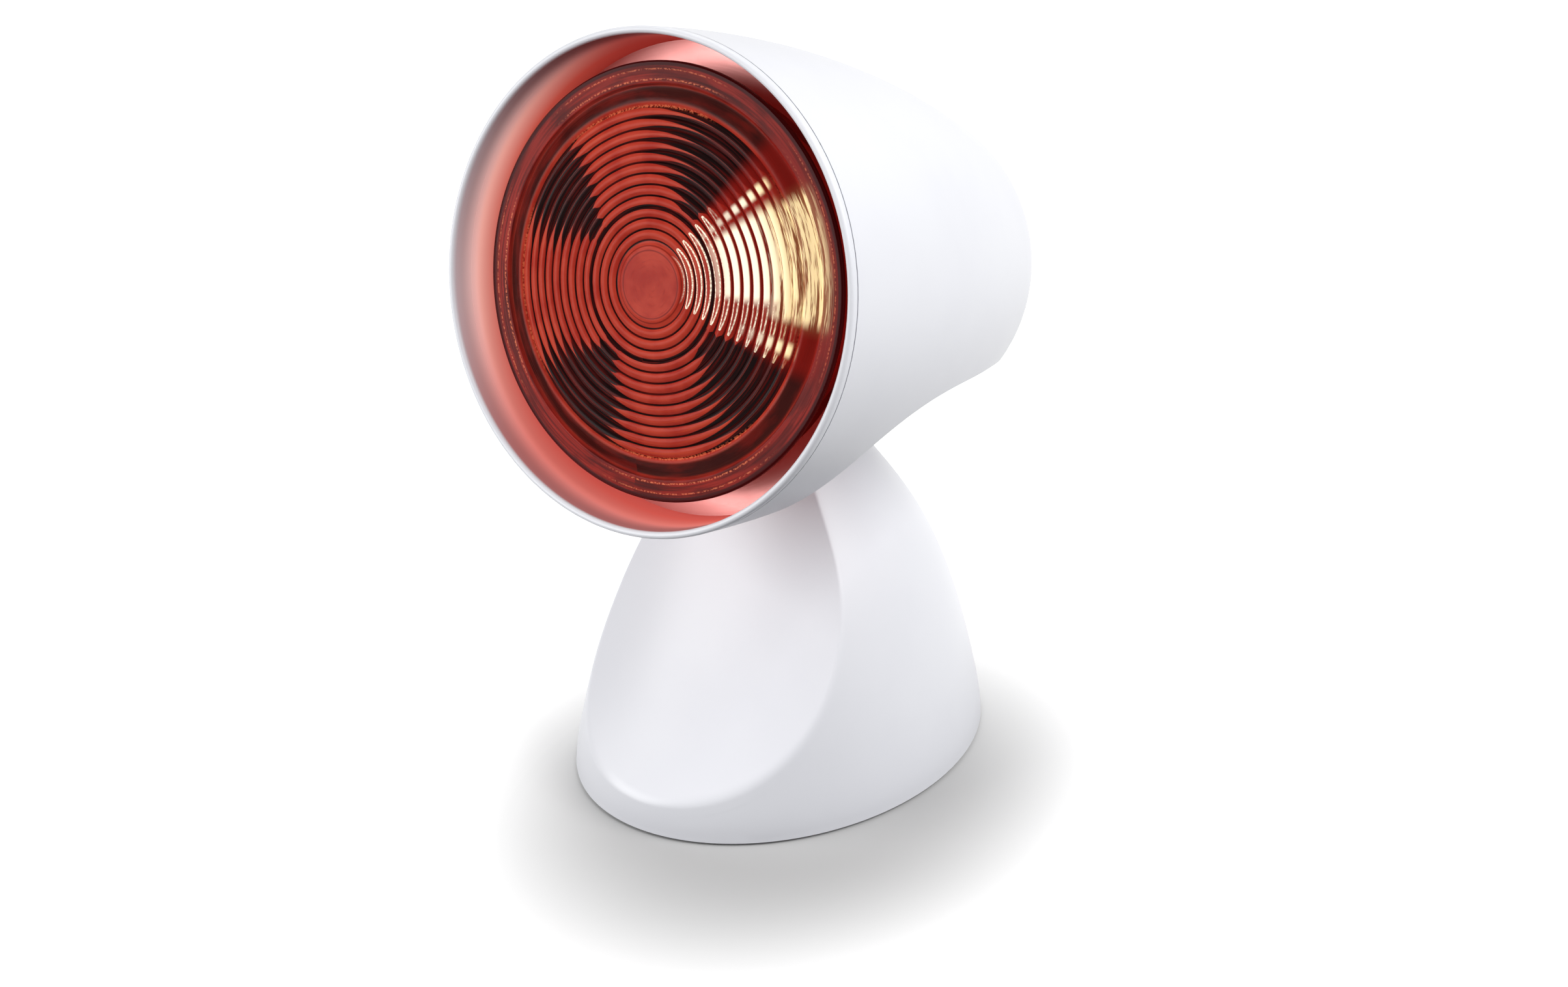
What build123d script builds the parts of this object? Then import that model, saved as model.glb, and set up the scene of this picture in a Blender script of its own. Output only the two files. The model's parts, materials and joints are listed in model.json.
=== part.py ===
"""Infrared heat lamp: a tilting bell shade with a pressed-glass bulb on an ogive base.

Frame: +Z up, the shade faces -Y, X is left and right. The origin lies on the ground
under the centre of the base. Millimetres.

The head is drawn in its own coordinates: the depth behind the plane of its rim, and the
height or radius from the bulb's axis. That axis leans up by head_tilt at rest.
"""
from build123d import *
from math import asin, atan2, cos, radians, sin, sqrt
import os

# ---------------------------------------------------------------- clearances
seam = 0.15            # between fixed neighbours
screw_clearance = 0.15  # radial, round a screw's shank
running_gap = 0.05     # radial, between a pin and its bush
tilt_gap = 1.5         # between the knuckle and the bracket that turns round it

# ---------------------------------------------------------------- head: place and shade
head_tilt = 13.0       # degrees, axis above the horizontal
rim_y = -68.0          # centre of the rim
rim_z = 173.6
shade_radius = 71.45
shade_wall = 2.2
side_turn = 19.0       # degrees the bell's long side bends before its shoulder
shoulder_turn = 49.7   # degrees the shoulder bends before the closed end
end_radius = 60.0      # of the closed end
end_space = 15.85      # from the lampholder's bracket to the middle of the closed end

rim_bead = 2.3         # depth of the front ring's rounded bead
rim_groove = 0.5       # open line between the bead and the shade
tongue_depth = 7.9     # the ring's tongue ends here
tongue_wall = 1.1

scoop_middle = 105.0   # the cut-out under the shade: a superellipse seen from the side
scoop_half_length = 77.0
scoop_floor = -70.0
scoop_height = 47.5
scoop_power = 3.0
scoop_steps = 16

vent_count = 10
vent_inner = 8.0
vent_outer = 19.5
vent_width = 3.0

# ---------------------------------------------------------------- bulb
bulb_radius = 60.5
lens_front = 7.9       # depth of the sealing flange's front face
lens_crown = 1.8       # how far the middle of the lens stands in front of the flange
lens_thickness = 2.2   # of the flange half that belongs to the lens
button_radius = 10.0   # plain disc in the middle of the lens
first_groove = 12.4
groove_pitch = 3.1
groove_count = 13
groove_depth = 0.7
flange_width = 6.0
flange_depth = 2.0     # of the flange half that belongs to the reflector
glass_wall = 2.5
focal_length = 9.5     # of the paraboloid behind the lens
vertex_depth = 101.4   # where that paraboloid would close
glass_end = 87.4       # where the paraboloid runs into the neck
neck_radius = 16.5
neck_start = 98.0
neck_end = 110.5
thread_radius = 13.2   # Edison screw, 27 mm
cap_end = 134.0
insulator_length = 4.2
contact_radius = 4.6
contact_length = 1.7
filament_front = 60.0
filament_spread = 7.0
filament_wire = 0.8

# ---------------------------------------------------------------- heat shield
shield_depth = 26.0    # its front flange
shield_gap = 3.0       # air between glass and metal
shield_wall = 1.5
shield_end = 99.0

# ---------------------------------------------------------------- lampholder and its bracket
holder_radius = 21.0
holder_front = 105.5
holder_floor = 7.0
leaf_length = 16.0     # the spring leaf that meets the bulb's contact
leaf_width = 5.0
leaf_thickness = 0.65
thread_sleeve_wall = 0.7
bracket_plate = 2.0
bracket_length = 62.0
bracket_height = 16.0
holder_screw_length = 7.0
boss_screw_length = 8.0
holder_screw_spread = 9.0
boss_spread = 27.0
boss_radius = 4.2
m4_radius = 1.9
m4_head_radius = 3.4
m4_head_height = 2.0

# ---------------------------------------------------------------- tilt joint
pivot_y = 8.0
pivot_z = 107.0
knuckle_radius = 12.0
knuckle_width = 28.0
axle_radius = 4.0
bush_radius = 6.0
bush_flange_radius = 8.5
bush_flange = 0.8
washer_thickness = 0.5
ear_thickness = 2.0
ear_radius = 8.5
saddle_plate = 2.0     # sheet of the tilt bracket
saddle_length = 18.0   # along the bulb's axis
saddle_side_gap = 1.7  # between the bracket's ends and the shade's wall
saddle_rise = 15.5     # from the underside of the saddle to its side flanges
saddle_flange = 16.0
side_boss_height = 10.0
side_screw_spread = 9.0
side_screw_radius = 1.4
side_screw_head = 2.7
side_screw_length = 8.0
nut_radius = 7.0
nut_height = 3.4
bolt_head_radius = 6.5
bolt_head_height = 3.0
spring_washer = 1.2

# ---------------------------------------------------------------- base body
base_half_width = 59.7
base_half_depth = 76.2
section_heights = [0.0, 15.0, 30.0, 50.0, 70.0, 96.0]
section_half_widths = [base_half_width, 57.7, 54.5, 49.1, 39.8, 25.2]
base_wall = 2.4
wall_cut = 10.0        # deep enough to open the body's wall for a fitting
base_lift = 0.9        # gap under the body's lower edge

panel_low = (-96.3, -10.0)   # the front panel's hollow line, as y and z
panel_middle = (-35.5, 60.0)
panel_high = (-8.6, 130.0)
panel_crown = 99.0     # radius of the panel across its width
panel_lip = 1.0
panel_thickness = 2.4

plate_thickness = 2.4
plate_bottom = 1.6
foot_radius = 6.5
foot_recess = 0.8
foot_inset_x = 25.7    # of the feet's centres from the body's outline
foot_inset_y = 32.2
column_inset = 13.7    # of the screw columns from the body's widest line
column_y = 20.0
column_radius = 4.2
base_screw_radius = 1.6
base_screw_length = 12.0

ballast_half_width = 32.0
ballast_half_depth = 30.0
ballast_y = -12.0
ballast_height = 12.0
ballast_screw_x = 20.0

lead_hole_radius = 3.5
lead_hole_y = 26.0

# ---------------------------------------------------------------- switch and cable inlet
switch_z = 38.0
bezel_width = 15.0
bezel_length = 21.0
bezel_height = 2.0
switch_recess = 1.4
switch_body_width = 12.8
switch_body_length = 18.8
switch_body_depth = 16.0
rocker_width = 10.5
rocker_half_length = 7.6
rocker_gap = 0.2
rocker_angle = 6.0     # degrees either side of level
rocker_pin = 1.2
blade_length = 8.0

gland_z = 11.0
gland_flange_radius = 7.0
gland_neck_radius = 5.2
gland_bore_radius = 3.4
gland_flange = 2.0
inlet_recess = 2.8     # how deep the cable inlet's flat seat is cut into the body
gland_pad = 4.0

clamp_behind = 18.5    # from the inlet's seat to the cord clamp
clamp_width = 7.0
clamp_half_length = 11.0
clamp_strap = 2.4
clamp_screw_x = 8.3
block_behind = 38.5    # from the inlet's seat to the terminal block
block_length = 28.0
block_width = 13.0
block_height = 11.0
block_pitch = 9.0
block_ways = 3
wire_hole_radius = 2.0
well_radius = 2.2
terminal_screw_length = 3.0

# ---------------------------------------------------------------- worked-out places
# The bulb's depth sets the lampholder's, and that sets the length of the shade.
cap_start = neck_end + seam
insulator_end = cap_end + insulator_length
contact_start = insulator_end + seam
contact_end = contact_start + contact_length
holder_well = contact_end + leaf_thickness + 2 * seam
holder_end = holder_well + holder_floor
bracket_back = holder_end + seam + bracket_plate
rear_boss_front = bracket_back + seam
shade_length = bracket_back + end_space

tilt_cos = cos(radians(head_tilt))
tilt_sin = sin(radians(head_tilt))
rim_centre = Vector(0, rim_y, rim_z)
head_forward = Vector(0, -tilt_cos, tilt_sin)
head_up = Vector(0, tilt_sin, tilt_cos)
head_axis = Axis(rim_centre, head_forward)
head_side = Plane(rim_centre, x_dir=head_up, z_dir=(-1, 0, 0))  # x is radius, y is depth

pivot = Vector(0, pivot_y, pivot_z)
pivot_depth = -(pivot - rim_centre).dot(head_forward)
pivot_height = (pivot - rim_centre).dot(head_up)

plateau = section_heights[-1]
depth_ratio = base_half_depth / base_half_width
plate_top = plate_bottom + plate_thickness


def head_plane(depth):
    """The plane across the head at one depth: x to the right, y up, facing forward."""
    return Plane(rim_centre - head_forward * depth, x_dir=(1, 0, 0), z_dir=head_forward)


def bell_arcs(inset=0.0):
    """The bell's three tangent arcs, rim to closed end: centre, radius and the angles it spans."""
    turns = [0, radians(side_turn), radians(side_turn + shoulder_turn), radians(90)]
    c1, s1, c2, s2 = cos(turns[1]), sin(turns[1]), cos(turns[2]), sin(turns[2])
    across = shade_radius - end_radius * c2
    along = shade_length - end_radius * (1 - s2)
    share = (1 - c1) * (s2 - s1) - (c1 - c2) * s1
    side = (across * (s2 - s1) - along * (c1 - c2)) / share
    shoulder = (along * (1 - c1) - across * s1) / share
    radii = [side, shoulder, end_radius]
    centre = Vector(shade_radius - side, 0)
    arcs = [(centre, side - inset, turns[0], turns[1])]
    for i in (1, 2):
        centre = centre + Vector(cos(turns[i]), sin(turns[i])) * (radii[i - 1] - radii[i])
        arcs.append((centre, radii[i] - inset, turns[i], turns[i + 1]))
    return arcs


def bell_line(start, inset=0.0):
    """Draws the bell's outline, or one inset inside it, from one depth to the closed end."""
    drawn = []
    for centre, radius, low, high in bell_arcs(inset):
        if not drawn:
            low = asin(start / radius)
        on_arc = [centre + Vector(cos(a), sin(a)) * radius for a in (low, (low + high) / 2, high)]
        drawn.append(ThreePointArc(*on_arc))
    return drawn


def bell_radius_at(depth, inset=0.0):
    """Radius of the bell's long side at one depth."""
    centre, radius, low, high = bell_arcs(inset)[0]
    return centre.X + sqrt(radius**2 - depth**2)


def glass_radius_at(depth):
    """Radius of the bulb's paraboloid at one depth."""
    return sqrt(4 * focal_length * (vertex_depth - depth))


def glass_line(start, extra, neck, neck_depth):
    """Draws the bulb's outline, moved outwards by extra, from one depth to its neck."""
    depths = [start, (start + glass_end) / 2, glass_end]
    bowl = ThreePointArc(*[(glass_radius_at(depth) + extra, depth) for depth in depths])
    return bowl, TangentArc(bowl @ 1, (neck, neck_depth), tangent=bowl % 1)


def lens_face_at(radius):
    """Depth of the lens's gently domed face at one radius."""
    return lens_front - lens_crown * (1 - (radius / (bulb_radius - flange_width)) ** 2)


def scoop_point(angle):
    """A point of the scoop's edge, as height and depth; angle runs from 0 in front to 180."""
    along = abs(cos(radians(angle))) ** (2 / scoop_power)
    rise = abs(sin(radians(angle))) ** (2 / scoop_power)
    way = 1 if angle < 90 else -1
    return (scoop_floor + scoop_height * rise, scoop_middle - scoop_half_length * along * way)


# ================================================================ shade
with BuildPart() as bell:
    with BuildSketch(head_side):
        with BuildLine():
            side = bell_line(0)
            Polyline(side[-1] @ 1, (0, 0), side[0] @ 0)
        make_face()
    revolve(axis=head_axis)

saddle_low = pivot_height + knuckle_radius + tilt_gap
saddle_high = saddle_low + saddle_rise + saddle_plate
saddle_front = pivot_depth - saddle_length / 2 + 1.5
saddle_middle = saddle_front + saddle_length / 2
wall_there = bell_radius_at(saddle_front + saddle_length, shade_wall)
saddle_reach = sqrt(wall_there**2 - saddle_high**2) - saddle_side_gap
saddle_half_width = saddle_reach - saddle_flange
side_screw_x = saddle_reach - saddle_flange / 2
saddle_seat = Plane(
    head_plane(saddle_middle).origin + head_up * saddle_high, x_dir=(1, 0, 0), z_dir=head_up
)
side_screw_places = [
    (way * side_screw_x, along / 2)
    for way in (-1, 1)
    for along in (-side_screw_spread, side_screw_spread)
]

# Blocks inside the bell that the two brackets are screwed to, trimmed by the bell.
with BuildPart() as bosses:
    for way in (-1, 1):
        with BuildSketch(head_plane(rear_boss_front)):
            with Locations((way * boss_spread, 0)):
                Circle(boss_radius)
        extrude(amount=-(shade_length - rear_boss_front))
        with BuildSketch(head_plane(saddle_front)):
            with Locations((way * (side_screw_x - boss_radius), saddle_high + seam)):
                Rectangle(shade_radius, side_boss_height, align=(Align.MIN if way > 0 else Align.MAX, Align.MIN))
        extrude(amount=-saddle_length)
    add(bell.part, mode=Mode.INTERSECT)

shade_front = rim_bead + rim_groove
shelf_radius = bell_radius_at(0) - tongue_wall
with BuildPart() as shade_shell:
    with BuildSketch(head_side):
        with BuildLine():
            outside = bell_line(shade_front)
            inside = bell_line(tongue_depth + seam, shade_wall)
            Line(outside[-1] @ 1, inside[-1] @ 1)
            Polyline(
                outside[0] @ 0,
                (shelf_radius, shade_front),
                (shelf_radius, tongue_depth + seam),
                inside[0] @ 0,
            )
        make_face()
    revolve(axis=head_axis)
    add(bosses.part)
    # the scoop that frees the base's neck
    with BuildSketch(head_side):
        with BuildLine():
            edge = [scoop_point(180 * i / scoop_steps) for i in range(scoop_steps + 1)]
            scoop = Spline(*edge, tangents=[(1, 0), (-1, 0)])
            Polyline(
                scoop @ 0,
                (-2 * shade_radius, scoop_middle - scoop_half_length),
                (-2 * shade_radius, scoop_middle + scoop_half_length),
                scoop @ 1,
            )
        make_face()
    extrude(amount=2 * shade_radius, both=True, mode=Mode.SUBTRACT)
    # vents in the closed end
    with BuildSketch(head_plane(shade_length + 1)):
        with PolarLocations((vent_inner + vent_outer) / 2, vent_count, start_angle=90):
            SlotOverall(vent_outer - vent_inner, vent_width)
    extrude(amount=shade_length - bracket_back, mode=Mode.SUBTRACT)
    # screw holes in the blocks
    with BuildSketch(head_plane(rear_boss_front)):
        with Locations((-boss_spread, 0), (boss_spread, 0)):
            Circle(m4_radius + screw_clearance)
    extrude(amount=bracket_plate - boss_screw_length - 1, mode=Mode.SUBTRACT)
    with BuildSketch(saddle_seat):
        with Locations(*side_screw_places):
            Circle(side_screw_radius + screw_clearance)
    extrude(amount=side_screw_length - saddle_plate + 1, mode=Mode.SUBTRACT)

with BuildPart() as front_ring:
    with BuildSketch(head_side):
        with BuildLine():
            crest = rim_bead / 2
            outer_edge = (shade_radius, crest)
            inner_edge = (shade_radius - 2.08, crest)
            tongue_radius = shelf_radius - seam
            ThreePointArc(inner_edge, (shade_radius - 1.04, 0), outer_edge)
            Polyline(
                outer_edge,
                (shade_radius, rim_bead),
                (tongue_radius, rim_bead),
                (tongue_radius, tongue_depth),
                (bell_radius_at(tongue_depth, shade_wall), tongue_depth),
                inner_edge,
            )
        make_face()
    revolve(axis=head_axis)

# ================================================================ bulb
lens_back = lens_front + lens_thickness
with BuildPart() as bulb_lens:
    with BuildSketch(head_side):
        with BuildLine():
            edges = [first_groove + groove_pitch * i for i in range(groove_count)]
            button = Polyline(
                (0, lens_face_at(0)),
                (button_radius, lens_face_at(0)),
                (first_groove, lens_face_at(first_groove) + groove_depth),
            )
            for near, far in zip(edges, edges[1:]):
                middle = (near + far) / 2
                ThreePointArc(
                    (near, lens_face_at(near) + groove_depth),
                    (middle, lens_face_at(middle)),
                    (far, lens_face_at(far) + groove_depth),
                )
            band = edges[-1] + groove_pitch / 2
            inner_rim = bulb_radius - flange_width
            Polyline(
                (edges[-1], lens_face_at(edges[-1]) + groove_depth),
                (band, lens_face_at(band)),
                (inner_rim, lens_front + groove_depth),
                (inner_rim + 0.8, lens_front),
                (bulb_radius - 0.5, lens_front),
                (bulb_radius, lens_front + 0.5),
                (bulb_radius, lens_back),
                (0, lens_back + 0.8),
                (0, lens_face_at(0)),
            )
        make_face()
    revolve(axis=head_axis)

glass_start = lens_back + flange_depth + 1
with BuildPart() as bulb_reflector:
    with BuildSketch(head_side):
        with BuildLine():
            bowl_out, throat_out = glass_line(glass_start, 0, neck_radius, neck_start)
            bowl_in, throat_in = glass_line(glass_start, -glass_wall, neck_radius - glass_wall, neck_start)
            Polyline(
                bowl_in @ 0,
                (glass_radius_at(glass_start) - glass_wall, lens_back + seam + 1),
                (bulb_radius - 2, lens_back + seam),
                (bulb_radius, lens_back + seam),
                (bulb_radius, lens_back + flange_depth - 0.5),
                (bulb_radius - 0.5, lens_back + flange_depth),
                bowl_out @ 0,
            )
            Polyline(
                throat_out @ 1,
                (neck_radius, neck_end),
                (0, neck_end),
                (0, neck_end - 2 * glass_wall),
                (neck_radius - glass_wall, neck_end - 2 * glass_wall),
                throat_in @ 1,
            )
        make_face()
    revolve(axis=head_axis)

cap_skirt = neck_radius - 0.2
cap_wall = 0.8
with BuildPart() as bulb_cap:
    with BuildSketch(head_side):
        with BuildLine():
            Polyline(
                (0, cap_start),
                (cap_skirt, cap_start),
                (cap_skirt, cap_start + 1.5),
                (thread_radius, cap_start + 3),
                (thread_radius, cap_end),
                (thread_radius - cap_wall, cap_end),
                (thread_radius - cap_wall, cap_start + 4),
                (0, cap_start + 4),
                close=True,
            )
        make_face()
    revolve(axis=head_axis)

insulator_radius = thread_radius - cap_wall - seam
with BuildPart() as bulb_insulator:
    with BuildSketch(head_side):
        with BuildLine():
            Polyline(
                (0, cap_end - 4),
                (insulator_radius, cap_end - 4),
                (insulator_radius, cap_end),
                (contact_radius + 1.5, insulator_end),
                (0, insulator_end),
                close=True,
            )
        make_face()
    revolve(axis=head_axis)

with BuildPart() as bulb_contact:
    with BuildSketch(head_side):
        with BuildLine():
            Polyline(
                (0, contact_start),
                (contact_radius, contact_start),
                (contact_radius, contact_start + contact_length / 2),
                (contact_radius - 1.5, contact_end),
                (0, contact_end),
                close=True,
            )
        make_face()
    revolve(axis=head_axis)

# A hairpin of wire on the bulb's axis, standing on the closed neck.
filament_foot = neck_end - 2 * glass_wall - seam
with BuildPart() as filament:
    with BuildLine(Plane(rim_centre, x_dir=(1, 0, 0), z_dir=head_up)) as hairpin:
        leg = Line((-filament_spread, filament_foot), (-filament_spread, filament_front + filament_spread))
        bow = ThreePointArc(
            leg @ 1,
            (0, filament_front),
            (filament_spread, filament_front + filament_spread),
        )
        Line(bow @ 1, (filament_spread, filament_foot))
    with BuildSketch(Plane(hairpin.line @ 0, z_dir=hairpin.line % 0)):
        Circle(filament_wire)
    sweep()

# ================================================================ heat shield
shield_mouth = neck_radius + shield_gap + 0.6
with BuildPart() as heat_shield:
    with BuildSketch(head_side):
        with BuildLine():
            cup_in, mouth_in = glass_line(shield_depth, shield_gap, shield_mouth, shield_end)
            cup_out, mouth_out = glass_line(
                shield_depth + shield_wall, shield_gap + shield_wall, shield_mouth + shield_wall, shield_end
            )
            seat_radius = bell_radius_at(shield_depth + shield_wall, shade_wall) - seam
            Polyline(
                cup_in @ 0,
                (seat_radius, shield_depth),
                (seat_radius, shield_depth + shield_wall),
                cup_out @ 0,
            )
            Line(mouth_in @ 1, mouth_out @ 1)
        make_face()
    revolve(axis=head_axis)

# ================================================================ lampholder
sleeve_radius = thread_radius + seam
sleeve_outside = sleeve_radius + thread_sleeve_wall
with BuildPart() as lampholder:
    with BuildSketch(head_side):
        with BuildLine():
            well = neck_radius + 0.7
            well_end = cap_start + 3.4
            Polyline(
                (well, holder_front),
                (holder_radius - 1.5, holder_front),
                (holder_radius, holder_front + 1.5),
                (holder_radius, holder_end - 2),
                (holder_radius - 2, holder_end),
                (0, holder_end),
                (0, holder_well),
                (sleeve_outside + seam, holder_well),
                (sleeve_outside + seam, well_end),
                (well, well_end),
                close=True,
            )
        make_face()
    revolve(axis=head_axis)
    with BuildSketch(head_plane(holder_end)):
        with Locations((-holder_screw_spread, 0), (holder_screw_spread, 0)):
            Circle(m4_radius + screw_clearance)
    extrude(amount=holder_screw_length - bracket_plate + 0.5, mode=Mode.SUBTRACT)

with BuildPart() as holder_sleeve:
    with BuildSketch(head_plane(well_end + seam)):
        Circle(sleeve_outside)
        Circle(sleeve_radius, mode=Mode.SUBTRACT)
    extrude(amount=-(cap_end + 2 - well_end))

with BuildPart() as holder_contact:
    with BuildSketch(head_plane(contact_end + seam)):
        SlotOverall(leaf_length, leaf_width)
    extrude(amount=-leaf_thickness)

with BuildPart() as holder_bracket:
    with BuildSketch(head_plane(holder_end + seam)):
        RectangleRounded(bracket_length, bracket_height, 3)
        with Locations(*[(way * x, 0) for way in (-1, 1) for x in (holder_screw_spread, boss_spread)]):
            Circle(m4_radius + screw_clearance, mode=Mode.SUBTRACT)
    extrude(amount=-bracket_plate)

with BuildPart() as holder_screws:
    with Locations(head_plane(bracket_back)):
        with Locations((-holder_screw_spread, 0, 0), (holder_screw_spread, 0, 0)):
            Cylinder(m4_radius, holder_screw_length, align=(Align.CENTER, Align.CENTER, Align.MIN))
            Cylinder(m4_head_radius, m4_head_height, align=(Align.CENTER, Align.CENTER, Align.MAX))

with BuildPart() as boss_screws:
    with Locations(head_plane(holder_end + seam)):
        with Locations((-boss_spread, 0, 0), (boss_spread, 0, 0)):
            Cylinder(m4_radius, boss_screw_length, align=(Align.CENTER, Align.CENTER, Align.MAX))
            Cylinder(m4_head_radius, m4_head_height, align=(Align.CENTER, Align.CENTER, Align.MIN))

# ================================================================ tilt bracket and axle
bush_end = knuckle_width / 2 + bush_flange
ear_inside = bush_end + seam / 3 + washer_thickness + seam / 3
ear_outside = ear_inside + ear_thickness
with BuildPart() as tilt_bracket:
    # a hat section, open upwards, that passes under the heat shield
    with BuildSketch(head_plane(saddle_front)):
        with BuildLine():
            for way in (-1, 1):
                Polyline(
                    (0, saddle_low),
                    (way * saddle_half_width, saddle_low),
                    (way * saddle_half_width, saddle_high - saddle_plate),
                    (way * saddle_reach, saddle_high - saddle_plate),
                    (way * saddle_reach, saddle_high),
                    (way * (saddle_half_width - saddle_plate), saddle_high),
                    (way * (saddle_half_width - saddle_plate), saddle_low + saddle_plate),
                    (0, saddle_low + saddle_plate),
                )
        make_face()
    extrude(amount=-saddle_length)
    for way in (-1, 1):
        with BuildSketch(head_side.offset(-way * ear_inside)):
            with Locations((pivot_height, pivot_depth)):
                Circle(ear_radius)
            with Locations(((pivot_height + saddle_low + saddle_plate / 2) / 2, pivot_depth)):
                Rectangle(saddle_low + saddle_plate / 2 - pivot_height, 2 * ear_radius)
        extrude(amount=-way * ear_thickness)
    with BuildSketch(head_side):
        with Locations((pivot_height, pivot_depth)):
            Circle(axle_radius + seam)
    extrude(amount=ear_outside + 1, both=True, mode=Mode.SUBTRACT)
    with BuildSketch(saddle_seat):
        with Locations(*side_screw_places):
            Circle(side_screw_radius + screw_clearance)
    extrude(amount=-saddle_plate, mode=Mode.SUBTRACT)

with BuildPart() as saddle_screws:
    with Locations(saddle_seat.offset(-saddle_plate)):
        with Locations(*side_screw_places):
            Cylinder(side_screw_radius, side_screw_length, align=(Align.CENTER, Align.CENTER, Align.MIN))
            Cylinder(side_screw_head, 1.8, align=(Align.CENTER, Align.CENTER, Align.MAX))

# Planes that face along the axle, to the right and to the left of the pivot.
axle_right = Plane(pivot, x_dir=(0, 1, 0), z_dir=(1, 0, 0))
axle_left = Plane(pivot, x_dir=(0, 1, 0), z_dir=(-1, 0, 0))
nut_start = ear_outside + seam + spring_washer + seam

with BuildPart() as pivot_bolt:
    with BuildSketch(axle_left.offset(ear_outside + seam)):
        Circle(bolt_head_radius)
    extrude(amount=bolt_head_height)
    with BuildSketch(axle_left.offset(ear_outside + seam)):
        Circle(axle_radius)
    extrude(amount=-(2 * ear_outside + 3 * seam + spring_washer + nut_height + 1))

with BuildPart() as pivot_spring_washer:
    with BuildSketch(axle_right.offset(ear_outside + seam)):
        Circle(nut_radius)
        Circle(axle_radius + seam, mode=Mode.SUBTRACT)
    extrude(amount=spring_washer)

with BuildPart() as pivot_nut:
    with BuildSketch(axle_right.offset(nut_start)):
        RegularPolygon(nut_radius, 6)
        Circle(axle_radius + seam, mode=Mode.SUBTRACT)
    extrude(amount=nut_height)

bushes = {}
washers = {}
for name, plane in (("left", axle_left), ("right", axle_right)):
    with BuildPart() as bush:
        with BuildSketch(plane.offset(knuckle_width / 2)):
            Circle(bush_flange_radius)
        extrude(amount=bush_flange)
        with BuildSketch(plane.offset(knuckle_width / 2)):
            Circle(bush_radius - running_gap)
        extrude(amount=-8)
        with BuildSketch(plane.offset(bush_end)):
            Circle(axle_radius + running_gap)
        extrude(amount=-knuckle_width, mode=Mode.SUBTRACT)
    bushes[name] = bush.part
    with BuildPart() as washer:
        with BuildSketch(plane.offset(bush_end + seam / 3)):
            Circle(bush_flange_radius)
            Circle(axle_radius + seam, mode=Mode.SUBTRACT)
        extrude(amount=washer_thickness)
    washers[name] = washer.part

# ================================================================ base


def half_width_at(height):
    """Half width of the base body at one height, between the drawn sections."""
    pairs = list(zip(section_heights, section_half_widths))
    for (low, wide), (high, narrow) in zip(pairs, pairs[1:]):
        if height <= high:
            return wide + (narrow - wide) * (height - low) / (high - low)
    return section_half_widths[-1]


def base_form(inset, low, high):
    """The ogive body drawn smaller by inset, trimmed between two heights."""
    with BuildPart() as form:
        for height, half_width in zip(section_heights, section_half_widths):
            with BuildSketch(Plane.XY.offset(height)):
                Ellipse(half_width - inset, half_width * depth_ratio - inset)
        loft()
        with Locations((0, 0, low)):
            Box(
                3 * base_half_width,
                3 * base_half_depth,
                high - low,
                align=(Align.CENTER, Align.CENTER, Align.MIN),
                mode=Mode.INTERSECT,
            )
    return form.part


panel_run = Vector(panel_high[0] - panel_low[0], panel_high[1] - panel_low[1]).normalized()
panel_inward = Vector(panel_run.Y, -panel_run.X)


def panel_form(inset):
    """Everything behind the front panel's face, moved inwards by inset."""
    shift = panel_inward * inset
    low, middle, high = [Vector(*point) + shift for point in (panel_low, panel_middle, panel_high)]
    centre = Vector(*panel_middle) + panel_inward * panel_crown
    low_end = centre + panel_run * (low - centre).dot(panel_run)
    high_end = centre + panel_run * (high - centre).dot(panel_run)
    with BuildPart() as form:
        with BuildSketch(Plane.YZ):
            with BuildLine():
                ThreePointArc(low, middle, high)
                Polyline(high, high_end, low_end, low)
            make_face()
        revolve(axis=Axis((0, centre.X, centre.Y), (0, panel_run.X, panel_run.Y)))
    return form.part


outer_form = base_form(0, base_lift, plateau)
switch_low, switch_high = switch_z - bezel_length / 2, switch_z + bezel_length / 2
switch_lean = atan2((half_width_at(switch_low) - half_width_at(switch_high)) * depth_ratio, bezel_length)
switch_face = Plane(
    (0, half_width_at(switch_z) * depth_ratio, switch_z),
    x_dir=(1, 0, 0),
    z_dir=(0, cos(switch_lean), sin(switch_lean)),
).offset(-switch_recess)
inlet_y = half_width_at(gland_z) * depth_ratio - inlet_recess
clamp_y = inlet_y - clamp_behind
block_y = inlet_y - block_behind
column_x = base_half_width - column_inset
foot_x = base_half_width - foot_inset_x
foot_y = base_half_depth - foot_inset_y
inlet_plane = Plane((0, inlet_y, gland_z), x_dir=(1, 0, 0), z_dir=(0, 1, 0))

column_places = [(x, y) for x in (-column_x, column_x) for y in (-column_y, column_y)]

# Screw columns, and thick pads behind the switch and the cable inlet, trimmed by the body.
with BuildPart() as inner_posts:
    with Locations(*[(x, y, plate_top + seam) for x, y in column_places]):
        Cylinder(column_radius, plateau, align=(Align.CENTER, Align.CENTER, Align.MIN))
    with BuildSketch(switch_face):
        Rectangle(bezel_width + 9, bezel_length + 9)
    extrude(amount=-3.4)
    with BuildSketch(inlet_plane.offset(-gland_pad)):
        Rectangle(3 * gland_flange_radius, 2 * (gland_z - plate_top - seam))
    extrude(amount=gland_pad + 2 * inlet_recess)
    add(outer_form, mode=Mode.INTERSECT)
    add(panel_form(panel_lip + seam), mode=Mode.INTERSECT)

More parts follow.
